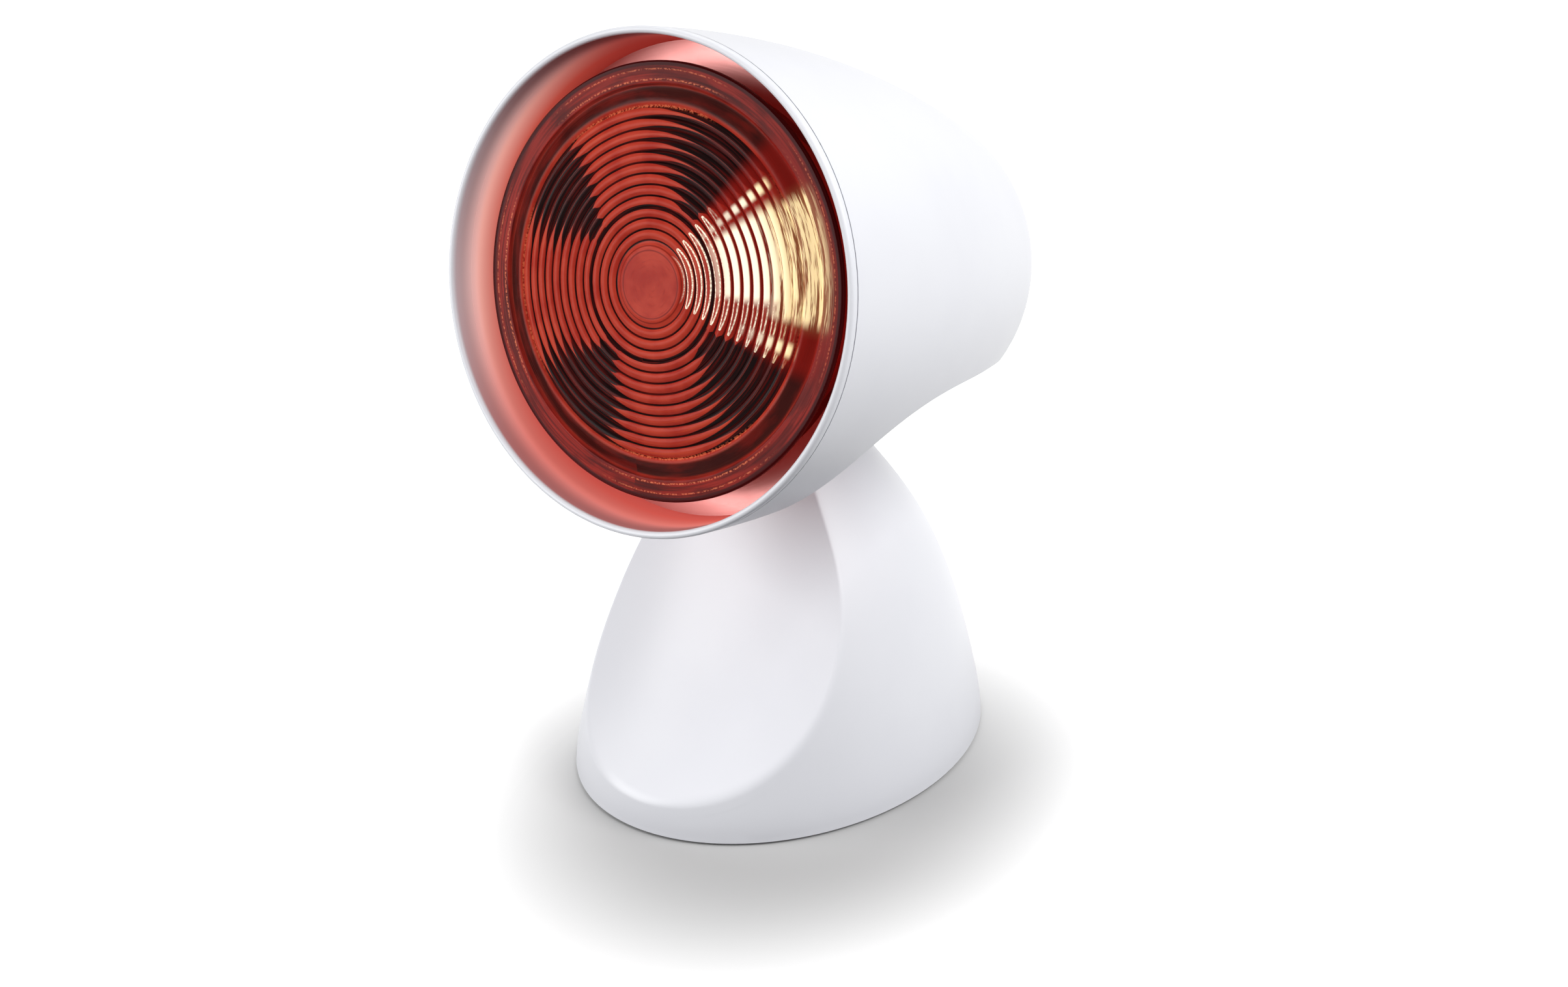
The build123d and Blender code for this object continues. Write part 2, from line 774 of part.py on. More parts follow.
neck_low = plateau - 2 * base_wall
with BuildPart() as base_housing:
    add(outer_form)
    add(panel_form(panel_lip + seam), mode=Mode.INTERSECT)
    add(base_form(base_wall, 0, plateau - base_wall), mode=Mode.SUBTRACT)
    add(inner_posts.part)
    # the neck and the knuckle on top of it
    with Locations((0, pivot_y, neck_low)):
        Box(
            knuckle_width,
            2 * knuckle_radius,
            pivot_z - neck_low,
            align=(Align.CENTER, Align.CENTER, Align.MIN),
        )
    with BuildSketch(axle_left.offset(-knuckle_width / 2)):
        Circle(knuckle_radius)
    extrude(amount=knuckle_width)
    with BuildSketch(axle_left.offset(-knuckle_width / 2)):
        Circle(bush_radius)
    extrude(amount=knuckle_width, mode=Mode.SUBTRACT)
    # way up for the lamp's lead
    with Locations((0, lead_hole_y, plateau)):
        Hole(lead_hole_radius, depth=2 * base_wall)
    # pilot holes in the columns
    with BuildSketch(Plane.XY.offset(plate_top)):
        with Locations(*column_places):
            Circle(base_screw_radius + screw_clearance)
    extrude(amount=base_screw_length + 1, mode=Mode.SUBTRACT)
    # seat and hole for the switch
    with BuildSketch(switch_face):
        RectangleRounded(bezel_width + 2 * seam, bezel_length + 2 * seam, 1.5)
    extrude(amount=2 * wall_cut, mode=Mode.SUBTRACT)
    with BuildSketch(switch_face):
        Rectangle(switch_body_width + 2 * seam, switch_body_length + 2 * seam)
    extrude(amount=-wall_cut, mode=Mode.SUBTRACT)
    # seat and hole for the cable gland
    with BuildSketch(inlet_plane):
        Circle(gland_flange_radius + seam)
    extrude(amount=2 * wall_cut, mode=Mode.SUBTRACT)
    with BuildSketch(inlet_plane):
        Circle(gland_neck_radius + seam)
    extrude(amount=-wall_cut, mode=Mode.SUBTRACT)

with BuildPart() as front_panel:
    add(outer_form)
    add(panel_form(0), mode=Mode.INTERSECT)
    add(panel_form(panel_lip), mode=Mode.SUBTRACT)
    # the plug that fills the housing's opening behind the lip
    with BuildPart(mode=Mode.PRIVATE) as plug:
        add(base_form(base_wall + seam, plate_top + 1, plateau - base_wall - seam))
        add(panel_form(panel_lip / 2), mode=Mode.INTERSECT)
        add(panel_form(panel_thickness), mode=Mode.SUBTRACT)
    add(plug.part)

plate_half_width = base_half_width - base_wall - 0.8
plate_half_depth = base_half_depth - base_wall - 0.8
foot_places = [(x, y) for x in (-foot_x, foot_x) for y in (-foot_y, foot_y)]
ballast_screw_places = [(-ballast_screw_x, ballast_y), (ballast_screw_x, ballast_y)]
screw_sink = 1.4
with BuildPart() as base_plate:
    with BuildSketch(Plane.XY.offset(plate_bottom)):
        Ellipse(plate_half_width, plate_half_depth)
    extrude(amount=plate_thickness)
    with BuildSketch(Plane.XY.offset(plate_bottom)):
        with Locations(*foot_places):
            Circle(foot_radius + seam)
    extrude(amount=foot_recess, mode=Mode.SUBTRACT)
    with BuildSketch(Plane.XY.offset(plate_bottom)):
        with Locations(*column_places, *ballast_screw_places):
            Circle(m4_head_radius + seam)
    extrude(amount=screw_sink, mode=Mode.SUBTRACT)
    with BuildSketch(Plane.XY.offset(plate_bottom)):
        with Locations(*column_places, *ballast_screw_places):
            Circle(base_screw_radius + screw_clearance)
        with Locations((-clamp_screw_x, clamp_y), (clamp_screw_x, clamp_y)):
            Circle(side_screw_radius + screw_clearance)
    extrude(amount=plate_thickness, mode=Mode.SUBTRACT)

feet = []
for place in foot_places:
    with BuildPart() as foot:
        with BuildSketch():
            with Locations(place):
                Circle(foot_radius)
        extrude(amount=plate_bottom + foot_recess - seam)
        fillet(foot.edges().group_by(Axis.Z)[0], 0.6)
    feet.append(foot.part)

with BuildPart() as base_screws:
    with Locations(*[(x, y, plate_bottom + screw_sink) for x, y in column_places]):
        Cylinder(m4_head_radius, screw_sink - seam, align=(Align.CENTER, Align.CENTER, Align.MAX))
        Cylinder(base_screw_radius, base_screw_length, align=(Align.CENTER, Align.CENTER, Align.MIN))

ballast_low = plate_top + seam
with BuildPart() as ballast_weight:
    with BuildSketch(Plane.XY.offset(ballast_low)):
        with Locations((0, ballast_y)):
            Ellipse(ballast_half_width, ballast_half_depth)
    extrude(amount=ballast_height)
    chamfer(ballast_weight.edges().group_by(Axis.Z)[-1], 1)
    with BuildSketch(Plane.XY.offset(ballast_low)):
        with Locations(*ballast_screw_places):
            Circle(base_screw_radius + screw_clearance)
    extrude(amount=ballast_height - 1, mode=Mode.SUBTRACT)

with BuildPart() as ballast_screws:
    with Locations(*[(x, y, plate_bottom + screw_sink) for x, y in ballast_screw_places]):
        Cylinder(m4_head_radius, screw_sink - seam, align=(Align.CENTER, Align.CENTER, Align.MAX))
        Cylinder(base_screw_radius, ballast_height - 2, align=(Align.CENTER, Align.CENTER, Align.MIN))

# ================================================================ switch
rocker_centre = -rocker_pin
rocker_cavity = 7.0
with BuildPart() as switch_frame:
    with BuildSketch(switch_face.offset(seam)):
        RectangleRounded(bezel_width, bezel_length, 1.5)
    extrude(amount=bezel_height - seam)
    chamfer(switch_frame.faces().sort_by(Axis(switch_face.origin, switch_face.z_dir))[-1].edges(), 0.5)
    with BuildSketch(switch_face.offset(seam)):
        Rectangle(switch_body_width, switch_body_length)
    extrude(amount=-switch_body_depth)
    with BuildSketch(switch_face.offset(bezel_height)):
        Rectangle(rocker_width + 2 * rocker_gap, 2 * rocker_half_length + 1.6)
    extrude(amount=-(bezel_height + rocker_cavity), mode=Mode.SUBTRACT)
    with BuildSketch(Plane(switch_face.origin, x_dir=switch_face.y_dir, z_dir=(1, 0, 0))):
        with Locations((0, rocker_centre)):
            Circle(rocker_pin + running_gap)
    extrude(amount=rocker_width / 2 + 0.9, both=True, mode=Mode.SUBTRACT)

rocker_pivot = switch_face.origin + switch_face.z_dir * rocker_centre
rocker_along = switch_face.y_dir * cos(radians(rocker_angle)) + switch_face.z_dir * sin(radians(rocker_angle))
rocker_side = Plane(rocker_pivot, x_dir=rocker_along, z_dir=(1, 0, 0))
with BuildPart() as switch_rocker:
    with BuildSketch(rocker_side):
        with BuildLine():
            Polyline(
                (-rocker_half_length, 4.6),
                (0, 3.6),
                (rocker_half_length, 4.6),
                (rocker_half_length - 0.8, -1),
                (2.5, -3.5),
                (-2.5, -3.5),
                (0.8 - rocker_half_length, -1),
                close=True,
            )
        make_face()
    extrude(amount=rocker_width / 2, both=True)
    with BuildSketch(rocker_side):
        Circle(rocker_pin)
    extrude(amount=rocker_width / 2 + 0.7, both=True)

with BuildPart() as switch_blades:
    with BuildSketch(switch_face.offset(-switch_body_depth)):
        with Locations((0, -5), (0, 5)):
            Rectangle(4.8, 0.8)
    extrude(amount=-blade_length)

# ================================================================ cable inlet and mains parts
with BuildPart() as cable_gland:
    with BuildSketch(inlet_plane.offset(seam)):
        Circle(gland_flange_radius)
    extrude(amount=gland_flange)
    with BuildSketch(inlet_plane.offset(seam)):
        Circle(gland_neck_radius)
    extrude(amount=-(gland_pad + 2 * seam))
    with BuildSketch(inlet_plane.offset(-gland_pad - seam)):
        Circle(gland_neck_radius + 1.2)
    extrude(amount=-gland_flange)
    with BuildSketch(inlet_plane.offset(gland_flange + seam)):
        Circle(gland_bore_radius)
    extrude(amount=-(gland_pad + 4 * gland_flange), mode=Mode.SUBTRACT)
gland_length = gland_pad + 2 * gland_flange + 2 * seam

clamp_floor = plate_top + seam
with BuildPart() as cord_clamp:
    with BuildSketch(Plane((0, clamp_y - clamp_width / 2, clamp_floor), x_dir=(-1, 0, 0), z_dir=(0, 1, 0))):
        Rectangle(2 * clamp_half_length, clamp_strap, align=(Align.CENTER, Align.MIN))
        Circle(gland_bore_radius + clamp_strap)
        Circle(gland_bore_radius, mode=Mode.SUBTRACT)
        Rectangle(
            2 * clamp_half_length,
            gland_bore_radius + clamp_strap,
            align=(Align.CENTER, Align.MAX),
            mode=Mode.SUBTRACT,
        )
    extrude(amount=clamp_width)
    with BuildSketch(Plane.XY.offset(clamp_floor)):
        with Locations((-clamp_screw_x, clamp_y), (clamp_screw_x, clamp_y)):
            Circle(side_screw_radius + screw_clearance)
    extrude(amount=clamp_strap, mode=Mode.SUBTRACT)

with BuildPart() as clamp_screws:
    with Locations(
        (-clamp_screw_x, clamp_y, clamp_floor + clamp_strap + seam),
        (clamp_screw_x, clamp_y, clamp_floor + clamp_strap + seam),
    ):
        Cylinder(side_screw_head - 0.3, 1.6, align=(Align.CENTER, Align.CENTER, Align.MIN))
        Cylinder(
            side_screw_radius,
            clamp_strap + 2 * seam + plate_thickness - 0.4,
            align=(Align.CENTER, Align.CENTER, Align.MAX),
        )

way_places = [(block_pitch * (i - (block_ways - 1) / 2), block_y) for i in range(block_ways)]
with BuildPart() as terminal_block:
    with BuildSketch(Plane.XY.offset(clamp_floor)):
        with Locations((0, block_y)):
            RectangleRounded(block_length, block_width, 1)
    extrude(amount=block_height)
    with BuildSketch(Plane((0, block_y, clamp_floor), x_dir=(-1, 0, 0), z_dir=(0, 1, 0))):
        with Locations(*[(x, block_height / 3) for x, y in way_places]):
            Circle(wire_hole_radius)
    extrude(amount=block_width, both=True, mode=Mode.SUBTRACT)
    with BuildSketch(Plane.XY.offset(clamp_floor + block_height)):
        with Locations(*way_places):
            Circle(well_radius)
    extrude(amount=-block_height / 2 + wire_hole_radius / 2, mode=Mode.SUBTRACT)

with BuildPart() as terminal_screws:
    with BuildSketch(Plane.XY.offset(clamp_floor + block_height / 2 + wire_hole_radius / 2 + seam)):
        with Locations(*way_places):
            Circle(well_radius - seam)
    extrude(amount=terminal_screw_length)

# ================================================================ write the pieces
pieces = {
    "shade_shell": shade_shell.part,
    "front_ring": front_ring.part,
    "bulb_lens": bulb_lens.part,
    "bulb_reflector": bulb_reflector.part,
    "bulb_cap": bulb_cap.part,
    "bulb_insulator": bulb_insulator.part,
    "bulb_contact": bulb_contact.part,
    "filament": filament.part,
    "heat_shield": heat_shield.part,
    "lampholder": lampholder.part,
    "holder_sleeve": holder_sleeve.part,
    "holder_contact": holder_contact.part,
    "holder_bracket": holder_bracket.part,
    "holder_screws": holder_screws.part,
    "boss_screws": boss_screws.part,
    "tilt_bracket": tilt_bracket.part,
    "saddle_screws": saddle_screws.part,
    "pivot_bolt": pivot_bolt.part,
    "pivot_spring_washer": pivot_spring_washer.part,
    "pivot_nut": pivot_nut.part,
    "friction_washer_left": washers["left"],
    "friction_washer_right": washers["right"],
    "knuckle_bush_left": bushes["left"],
    "knuckle_bush_right": bushes["right"],
    "base_housing": base_housing.part,
    "front_panel": front_panel.part,
    "base_plate": base_plate.part,
    "foot_rear_left": feet[1],
    "foot_rear_right": feet[3],
    "foot_front_left": feet[0],
    "foot_front_right": feet[2],
    "base_screws": base_screws.part,
    "ballast_weight": ballast_weight.part,
    "ballast_screws": ballast_screws.part,
    "switch_frame": switch_frame.part,
    "switch_rocker": switch_rocker.part,
    "switch_blades": switch_blades.part,
    "cable_gland": cable_gland.part,
    "cord_clamp": cord_clamp.part,
    "clamp_screws": clamp_screws.part,
    "terminal_block": terminal_block.part,
    "terminal_screws": terminal_screws.part,
}

os.makedirs("parts", exist_ok=True)
for node, piece in pieces.items():
    piece.label = node
    export_step(piece, f"parts/{node}.step")
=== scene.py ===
# %% [markdown]
# # A tabletop infrared heat lamp
#
# A bell-shaped shade holds a ringed red reflector bulb and tilts on a heavy ogive base. The
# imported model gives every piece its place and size. This lesson dresses it: smooth shading for
# the large mouldings, a pressed-glass lens made by Geometry Nodes, procedural finishes for
# plastic, glass and metal, and then a studio with a camera.

import json
import math

import bmesh
import bpy
import numpy as np
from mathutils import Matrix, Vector


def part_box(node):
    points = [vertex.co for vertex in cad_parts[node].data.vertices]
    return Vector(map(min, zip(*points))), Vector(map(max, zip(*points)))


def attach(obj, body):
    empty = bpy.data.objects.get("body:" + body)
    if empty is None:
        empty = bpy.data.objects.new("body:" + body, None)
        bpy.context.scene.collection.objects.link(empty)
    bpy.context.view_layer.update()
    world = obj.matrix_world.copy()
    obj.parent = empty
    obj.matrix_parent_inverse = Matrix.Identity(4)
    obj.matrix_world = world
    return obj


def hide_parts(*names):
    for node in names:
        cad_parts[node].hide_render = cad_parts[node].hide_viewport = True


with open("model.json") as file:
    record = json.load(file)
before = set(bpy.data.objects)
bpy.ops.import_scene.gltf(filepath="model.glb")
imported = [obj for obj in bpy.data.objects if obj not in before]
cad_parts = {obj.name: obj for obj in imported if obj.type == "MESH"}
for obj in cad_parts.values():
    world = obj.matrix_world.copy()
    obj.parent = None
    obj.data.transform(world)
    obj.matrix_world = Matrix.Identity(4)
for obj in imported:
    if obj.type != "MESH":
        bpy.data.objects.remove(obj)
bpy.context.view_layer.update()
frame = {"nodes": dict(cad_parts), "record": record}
nodes = frame["nodes"]

# %% [markdown]
# ## The head's own frame
#
# The head leans back 13 degrees, so its round pieces are easier to describe along its own axis.
# Local Z points out of the lamp's mouth, local Y up and local X to the right, with the middle of
# the rim as the zero point. Sizes in this frame are in millimetres. A depth is measured inwards
# from the rim, so it is minus local Z.

# %% The head's frame
MM = 0.001
TILT = math.radians(13)
RIM = np.array([0.0, -68.0, 173.6])
FORWARD = np.array([0.0, -math.cos(TILT), math.sin(TILT)])
UP = np.array([0.0, math.sin(TILT), math.cos(TILT)])
HEAD_TURN = (math.pi / 2 - TILT, 0.0, 0.0)


def to_head(points):
    """Row-frame metres to the head's x, y and depth in millimetres."""
    p = np.asarray(points) / MM - RIM
    return np.stack([p[..., 0], p @ UP, -(p @ FORWARD)], axis=-1)


lens_box = to_head(np.array(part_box("bulb_lens")))
print("the lens node in head millimetres:", lens_box.round(1).tolist())

# %% [markdown]
# ## A small language for shader maths
#
# Procedural finishes are sums of simple fields: a distance, an angle, a soft step. Writing each
# Math node by hand hides the idea. A Field is one output of a node that can be added and multiplied
# like a number, and each sum adds its Math node by itself. Numbers and fields can be mixed.

# %% Shader maths helper
def both_ways(operation):
    """The method for field-and-value and the one for value-and-field."""
    return (lambda own, other: own.maker.math(operation, own, other),
            lambda own, other: own.maker.math(operation, other, own))


class Field:
    """One output of a node, ready for sums."""

    def __init__(self, maker, socket):
        self.maker, self.socket = maker, socket

    __add__, __radd__ = both_ways("ADD")
    __sub__, __rsub__ = both_ways("SUBTRACT")
    __mul__, __rmul__ = both_ways("MULTIPLY")
    __truediv__, __rtruediv__ = both_ways("DIVIDE")

    def __abs__(self):
        return self.maker.math("ABSOLUTE", self)


class Fields:
    """Adds nodes to one tree, one call for each."""

    def __init__(self, tree):
        self.tree = tree

    def node(self, kind, **settings):
        made = self.tree.nodes.new(kind)
        for name, value in settings.items():
            setattr(made, name, value)
        return made

    def feed(self, socket, value):
        value = getattr(value, "socket", value)
        if isinstance(value, bpy.types.NodeSocket):
            self.tree.links.new(value, socket)
        else:
            socket.default_value = value

    def fill(self, node, **values):
        """Feeds inputs by name, with _ for a space."""
        for name, value in values.items():
            self.feed(node.inputs[name.replace("_", " ")], value)

    def given(self):
        """The tree's own inputs by name, as fields."""
        return {s.name: Field(self, s) for s in self.node("NodeGroupInput").outputs if s.name}

    def math(self, operation, *values, clamp=False):
        made = self.node("ShaderNodeMath", operation=operation, use_clamp=clamp)
        for socket, value in zip(made.inputs, values):
            self.feed(socket, value)
        return Field(self, made.outputs[0])

    def most(self, one, other):
        return self.math("MAXIMUM", one, other)

    def least(self, one, other):
        return self.math("MINIMUM", one, other)

    def step(self, value, low, high, new_low=0.0, new_high=1.0):
        """A soft step from new_low to new_high while value goes from low to high."""
        made = self.node("ShaderNodeMapRange", interpolation_type="SMOOTHSTEP")
        self.fill(made, Value=value, From_Min=low, From_Max=high, To_Min=new_low, To_Max=new_high)
        return Field(self, made.outputs["Result"])

    def fall(self, value, low, high):
        """1 up to low, then softly down to 0 at high."""
        return self.step(value, low, high, 1.0, 0.0)

    def noise(self, vector, scale, detail=3.0, rough=0.5):
        made = self.node("ShaderNodeTexNoise")
        self.fill(made, Vector=vector, Scale=scale, Detail=detail, Roughness=rough)
        return Field(self, made.outputs[0])

    def mix(self, amount, first, second):
        made = self.node("ShaderNodeMix", data_type="RGBA")
        self.feed(made.inputs["Factor"], amount)
        for name, value in (("A", first), ("B", second)):
            socket = [s for s in made.inputs if s.name == name and s.type == "RGBA"][0]
            self.feed(socket, tone_of(value))
        return Field(self, [s for s in made.outputs if s.type == "RGBA"][0])

    def split(self, vector):
        made = self.node("ShaderNodeSeparateXYZ")
        self.feed(made.inputs[0], vector)
        return [Field(self, socket) for socket in made.outputs]

    def join(self, x, y, z):
        made = self.node("ShaderNodeCombineXYZ")
        self.fill(made, X=x, Y=y, Z=z)
        return Field(self, made.outputs[0])

    def own_space(self, place=(0, 0, 0), turn=(0, 0, 0)):
        """Object coordinates, centred and turned, in millimetres."""
        coords = self.node("ShaderNodeTexCoord")
        mapping = self.node("ShaderNodeMapping", vector_type="TEXTURE")
        mapping.inputs["Location"].default_value = [v * MM for v in place]
        mapping.inputs["Rotation"].default_value = turn
        mapping.inputs["Scale"].default_value = (MM, MM, MM)
        self.tree.links.new(coords.outputs["Object"], mapping.inputs["Vector"])
        return mapping.outputs[0]


def rgb(colour):
    """Screen values from 0 to 255 as a linear colour with alpha; a linear colour is left alone."""
    if max(colour[:3]) <= 1.0:
        return (*colour[:3], 1.0)
    parts = [c / 255 for c in colour[:3]]
    return (*[c / 12.92 if c <= 0.04045 else ((c + 0.055) / 1.055) ** 2.4 for c in parts], 1.0)


def tone_of(value):
    """A field or socket as it is, and anything else as a linear colour."""
    return value if isinstance(value, (Field, bpy.types.NodeSocket)) else rgb(value)


print("white plastic in linear light:", [round(c, 3) for c in rgb((236, 237, 241))])

# %% [markdown]
# ## One shared effect: the surface of a moulding
#
# Moulded plastic, cast iron and rubber differ in colour, yet share three things: a fine grain, a
# slow change of shade over the piece, and a gloss that isn't quite even. A node group holds that
# once, and each finish places it with its own numbers. It puts out only fields: a colour, a
# roughness and a height for the bump. The shader itself stays in each material.

# %% The surface group
def make_surface_group():
    group = bpy.data.node_groups.new("surface_grain", "ShaderNodeTree")
    for name, kind, value in (
        ("Vector", "NodeSocketVector", None), ("Colour", "NodeSocketColor", (0.8, 0.8, 0.8, 1)),
        ("Shade", "NodeSocketColor", (0.7, 0.7, 0.7, 1)), ("Grain size", "NodeSocketFloat", 0.5),
        ("Patch size", "NodeSocketFloat", 30.0), ("Patches", "NodeSocketFloat", 0.3),
        ("Roughness", "NodeSocketFloat", 0.4), ("Unevenness", "NodeSocketFloat", 0.08),
    ):
        socket = group.interface.new_socket(name=name, in_out="INPUT", socket_type=kind)
        if value is not None:
            socket.default_value = value
    for name, kind in (("Colour", "Color"), ("Roughness", "Float"), ("Height", "Float")):
        group.interface.new_socket(name=name, in_out="OUTPUT", socket_type="NodeSocket" + kind)
    f = Fields(group)
    given = f.given()
    result = f.node("NodeGroupOutput").inputs
    fine = f.noise(given["Vector"], 1.0 / given["Grain size"], detail=2.0, rough=0.6)
    slow = f.noise(given["Vector"], 1.0 / given["Patch size"], detail=3.0)
    patches = f.step(slow, 0.35, 0.7) * given["Patches"]
    specks = f.step(fine, 0.62, 0.8) * (given["Patches"] * 0.6)
    shade = f.math("ADD", patches, specks, clamp=True)
    f.feed(result["Colour"], f.mix(shade, given["Colour"], given["Shade"]))
    swing = (slow + fine - 1.0) * given["Unevenness"]
    f.feed(result["Roughness"], f.math("ADD", given["Roughness"], swing, clamp=True))
    f.feed(result["Height"], fine)
    return group


surface_grain = make_surface_group()
print("surface group:", len(surface_grain.nodes), "nodes")

# %% A finish made with the group
def start_material(name, colour=None):
    """A new material with its node maker and shader; the colour is for plain viewports."""
    material = bpy.data.materials.new(name)
    material.use_nodes = True
    if colour:
        material.diffuse_color = rgb(colour)
    return material, Fields(material.node_tree), material.node_tree.nodes["Principled BSDF"]


def grained(f, colour, shade, grain, patch, patches, rough, uneven, vector=None):
    """Places the shared group and hands back its outputs."""
    placed = f.node("ShaderNodeGroup", node_tree=surface_grain)
    f.fill(placed, Vector=vector or f.own_space(), Colour=tone_of(colour), Shade=tone_of(shade),
           Grain_size=grain, Patch_size=patch, Patches=patches, Roughness=rough, Unevenness=uneven)
    return placed.outputs


def finish_bump(f, shader, height, depth):
    """Depth is the real height of the grain, in millimetres."""
    bump = f.node("ShaderNodeBump")
    f.fill(bump, Distance=depth * MM, Height=height)
    f.feed(shader.inputs["Normal"], bump.outputs[0])


def plain_finish(name, colour, shade, grain, patch, patches, rough, uneven, depth, metal=0, coat=0):
    material, f, shader = start_material(name, colour)
    out = grained(f, colour, shade, grain, patch, patches, rough, uneven)
    f.fill(shader, Base_Color=out["Colour"], Roughness=out["Roughness"], Metallic=metal,
           Coat_Weight=coat)
    finish_bump(f, shader, out["Height"], depth)
    return material


print("ready to make finishes")

# %% [markdown]
# ## Finishes of the small pieces
#
# Zinc-plated screws, a brass thread, a glazed ceramic holder, rubber feet and a cast weight are
# one row each, under the name of their material slot. After the two colours come the grain and
# the slow patches in millimetres, how strong the patches are, the roughness and its unevenness,
# the height of the grain in millimetres, and for some rows the metallic and the coat.

# %% Small finishes
SMALL = {
    "zinc_steel": ("zinc_plate", (196, 199, 204), (150, 154, 160), 0.25, 6, 0.5, 0.34, 0.2, 0.008, 1),
    "brass": ("rolled_brass", (214, 178, 104), (160, 122, 60), 0.3, 8, 0.5, 0.3, 0.2, 0.008, 1),
    "cap_metal": ("bulb_cap_metal", (205, 203, 198), (160, 156, 148), 0.3, 9, 0.5, 0.32, 0.2, 0.01, 1),
    "ceramic": ("glazed_ceramic", (240, 237, 229), (222, 216, 203),
                1.2, 18, 0.4, 0.16, 0.06, 0.03, 0, 0.4),
    "black_glass": ("black_vitrite", (22, 22, 26), (40, 40, 46), 0.6, 5, 0.4, 0.14, 0.06, 0.01),
    "solder": ("soft_solder", (170, 171, 170), (110, 112, 112), 0.5, 3, 0.5, 0.38, 0.2, 0.05, 1),
    "tungsten": ("tungsten_wire", (96, 97, 100), (60, 60, 62), 0.3, 4, 0.5, 0.45, 0.1, 0.01, 1),
    "bush_plastic": ("acetal", (226, 224, 213), (206, 203, 190), 0.4, 8, 0.3, 0.42, 0.08, 0.01),
    "plate_plastic": ("textured_plate", (206, 207, 212), (188, 189, 196),
                      0.6, 22, 0.4, 0.55, 0.1, 0.05),
    "foot_rubber": ("foot_rubber", (44, 44, 45), (70, 69, 68), 0.35, 5, 0.5, 0.72, 0.15, 0.04),
    "iron": ("cast_iron", (84, 85, 88), (54, 54, 57), 0.8, 10, 0.6, 0.62, 0.2, 0.15, 0.6),
    "switch_black": ("switch_frame_black", (38, 38, 41), (52, 52, 56), 0.3, 6, 0.4, 0.5, 0.1, 0.03),
    "rocker_black": ("rocker_black", (30, 30, 33), (44, 44, 48),
                     0.3, 6, 0.3, 0.22, 0.08, 0.006, 0, 0.3),
    "gland_grey": ("gland_rubber", (148, 149, 152), (126, 127, 131), 0.3, 5, 0.4, 0.6, 0.12, 0.02),
    "clamp_plastic": ("nylon_black", (56, 56, 58), (74, 74, 77), 0.4, 6, 0.4, 0.48, 0.1, 0.02),
    "block_plastic": ("nylon_cream", (224, 221, 208), (204, 200, 184), 0.4, 7, 0.4, 0.4, 0.1, 0.02),
}


FINISH = {slot_name: plain_finish(*row) for slot_name, row in SMALL.items()}
print("small finishes:", ", ".join(FINISH))

# %% [markdown]
# ## White housing plastic
#
# The shade, the ring and the base are injection moulded in one cool white. The tool is polished,
# so the gloss is satin and even, with a grain too fine to see singly. Inside the shade's mouth the
# red light that the white wall takes from the bulb is painted into its colour: pale at the rim,
# pink a finger deep, deep red beside the glass, and painted shade over the bulb and under it. That
# painted light is a field of depth and angle, kept to the inner wall by comparing each point with
# the bell's radius. The wall also gives off a share of it as a painted glow, in place of the many
# bounces between the wall and the bulb.

# %% White plastic
SIDE_CENTRE, SIDE_RADIUS = -338.0, 409.4  # of the bell's long side, in head millimetres


def head_polar(f):
    """Depth, radius and angle (degrees, 0 up, 90 right) in the head's frame."""
    place = f.own_space(RIM, HEAD_TURN)
    x, y, z = f.split(place)
    depth = z * -1.0
    radius = f.math("SQRT", x * x + y * y)
    angle = f.math("DEGREES", f.math("ARCTAN2", x, y))
    return place, depth, radius, angle


WHITE, WHITE_SHADE = (234, 235, 240), (228, 229, 235)
# depth as a share of the full depth below, then the painted colour of the bulb's red light there
PAINTED_BOUNCE_DEPTH = 30.0
PAINTED_BOUNCE_STOPS = ((0.06, (218, 208, 213)), (0.22, (222, 190, 188)), (0.42, (219, 158, 146)),
         (0.7, (190, 84, 70)), (1.0, (120, 34, 28)))


def inner_wall_mask(f, depth, radius):
    """1 on the bell's inner wall behind the rim, fading out towards its closed end."""
    wall = f.math("SQRT", SIDE_RADIUS ** 2 - depth * depth) + SIDE_CENTRE
    inside = f.step(wall - radius, 1.2, 1.9)
    inside = inside * f.step(depth, 0.6, 1.8)
    return inside * f.fall(depth, 60.0, 95.0)


def painted_bulb_light(f, place, depth, angle):
    """The bulb's red light painted on the wall: deeper inwards, painted shade over and under the bulb.
    """
    cloud = f.noise(place, 0.02, detail=1.0)
    ramp = f.node("ShaderNodeValToRGB")
    f.feed(ramp.inputs[0], (depth + cloud * 2.0) / PAINTED_BOUNCE_DEPTH)
    stops = ramp.color_ramp.elements
    for stop, (where, tone) in zip((stops[0], stops[1]), (PAINTED_BOUNCE_STOPS[0], PAINTED_BOUNCE_STOPS[-1])):
        stop.position, stop.color = where, rgb(tone)
    for where, tone in PAINTED_BOUNCE_STOPS[1:-1]:
        stops.new(where).color = rgb(tone)
    # painted shade: darker red over the bulb, and darker salmon under it
    over = f.fall(abs(angle - 22.0), 38.0, 92.0)
    under = f.step(abs(angle), 95.0, 150.0)
    tone = f.mix(over * 0.95, ramp.outputs[0], (136, 36, 30))
    return f.mix(under * 0.75, tone, (192, 84, 76))


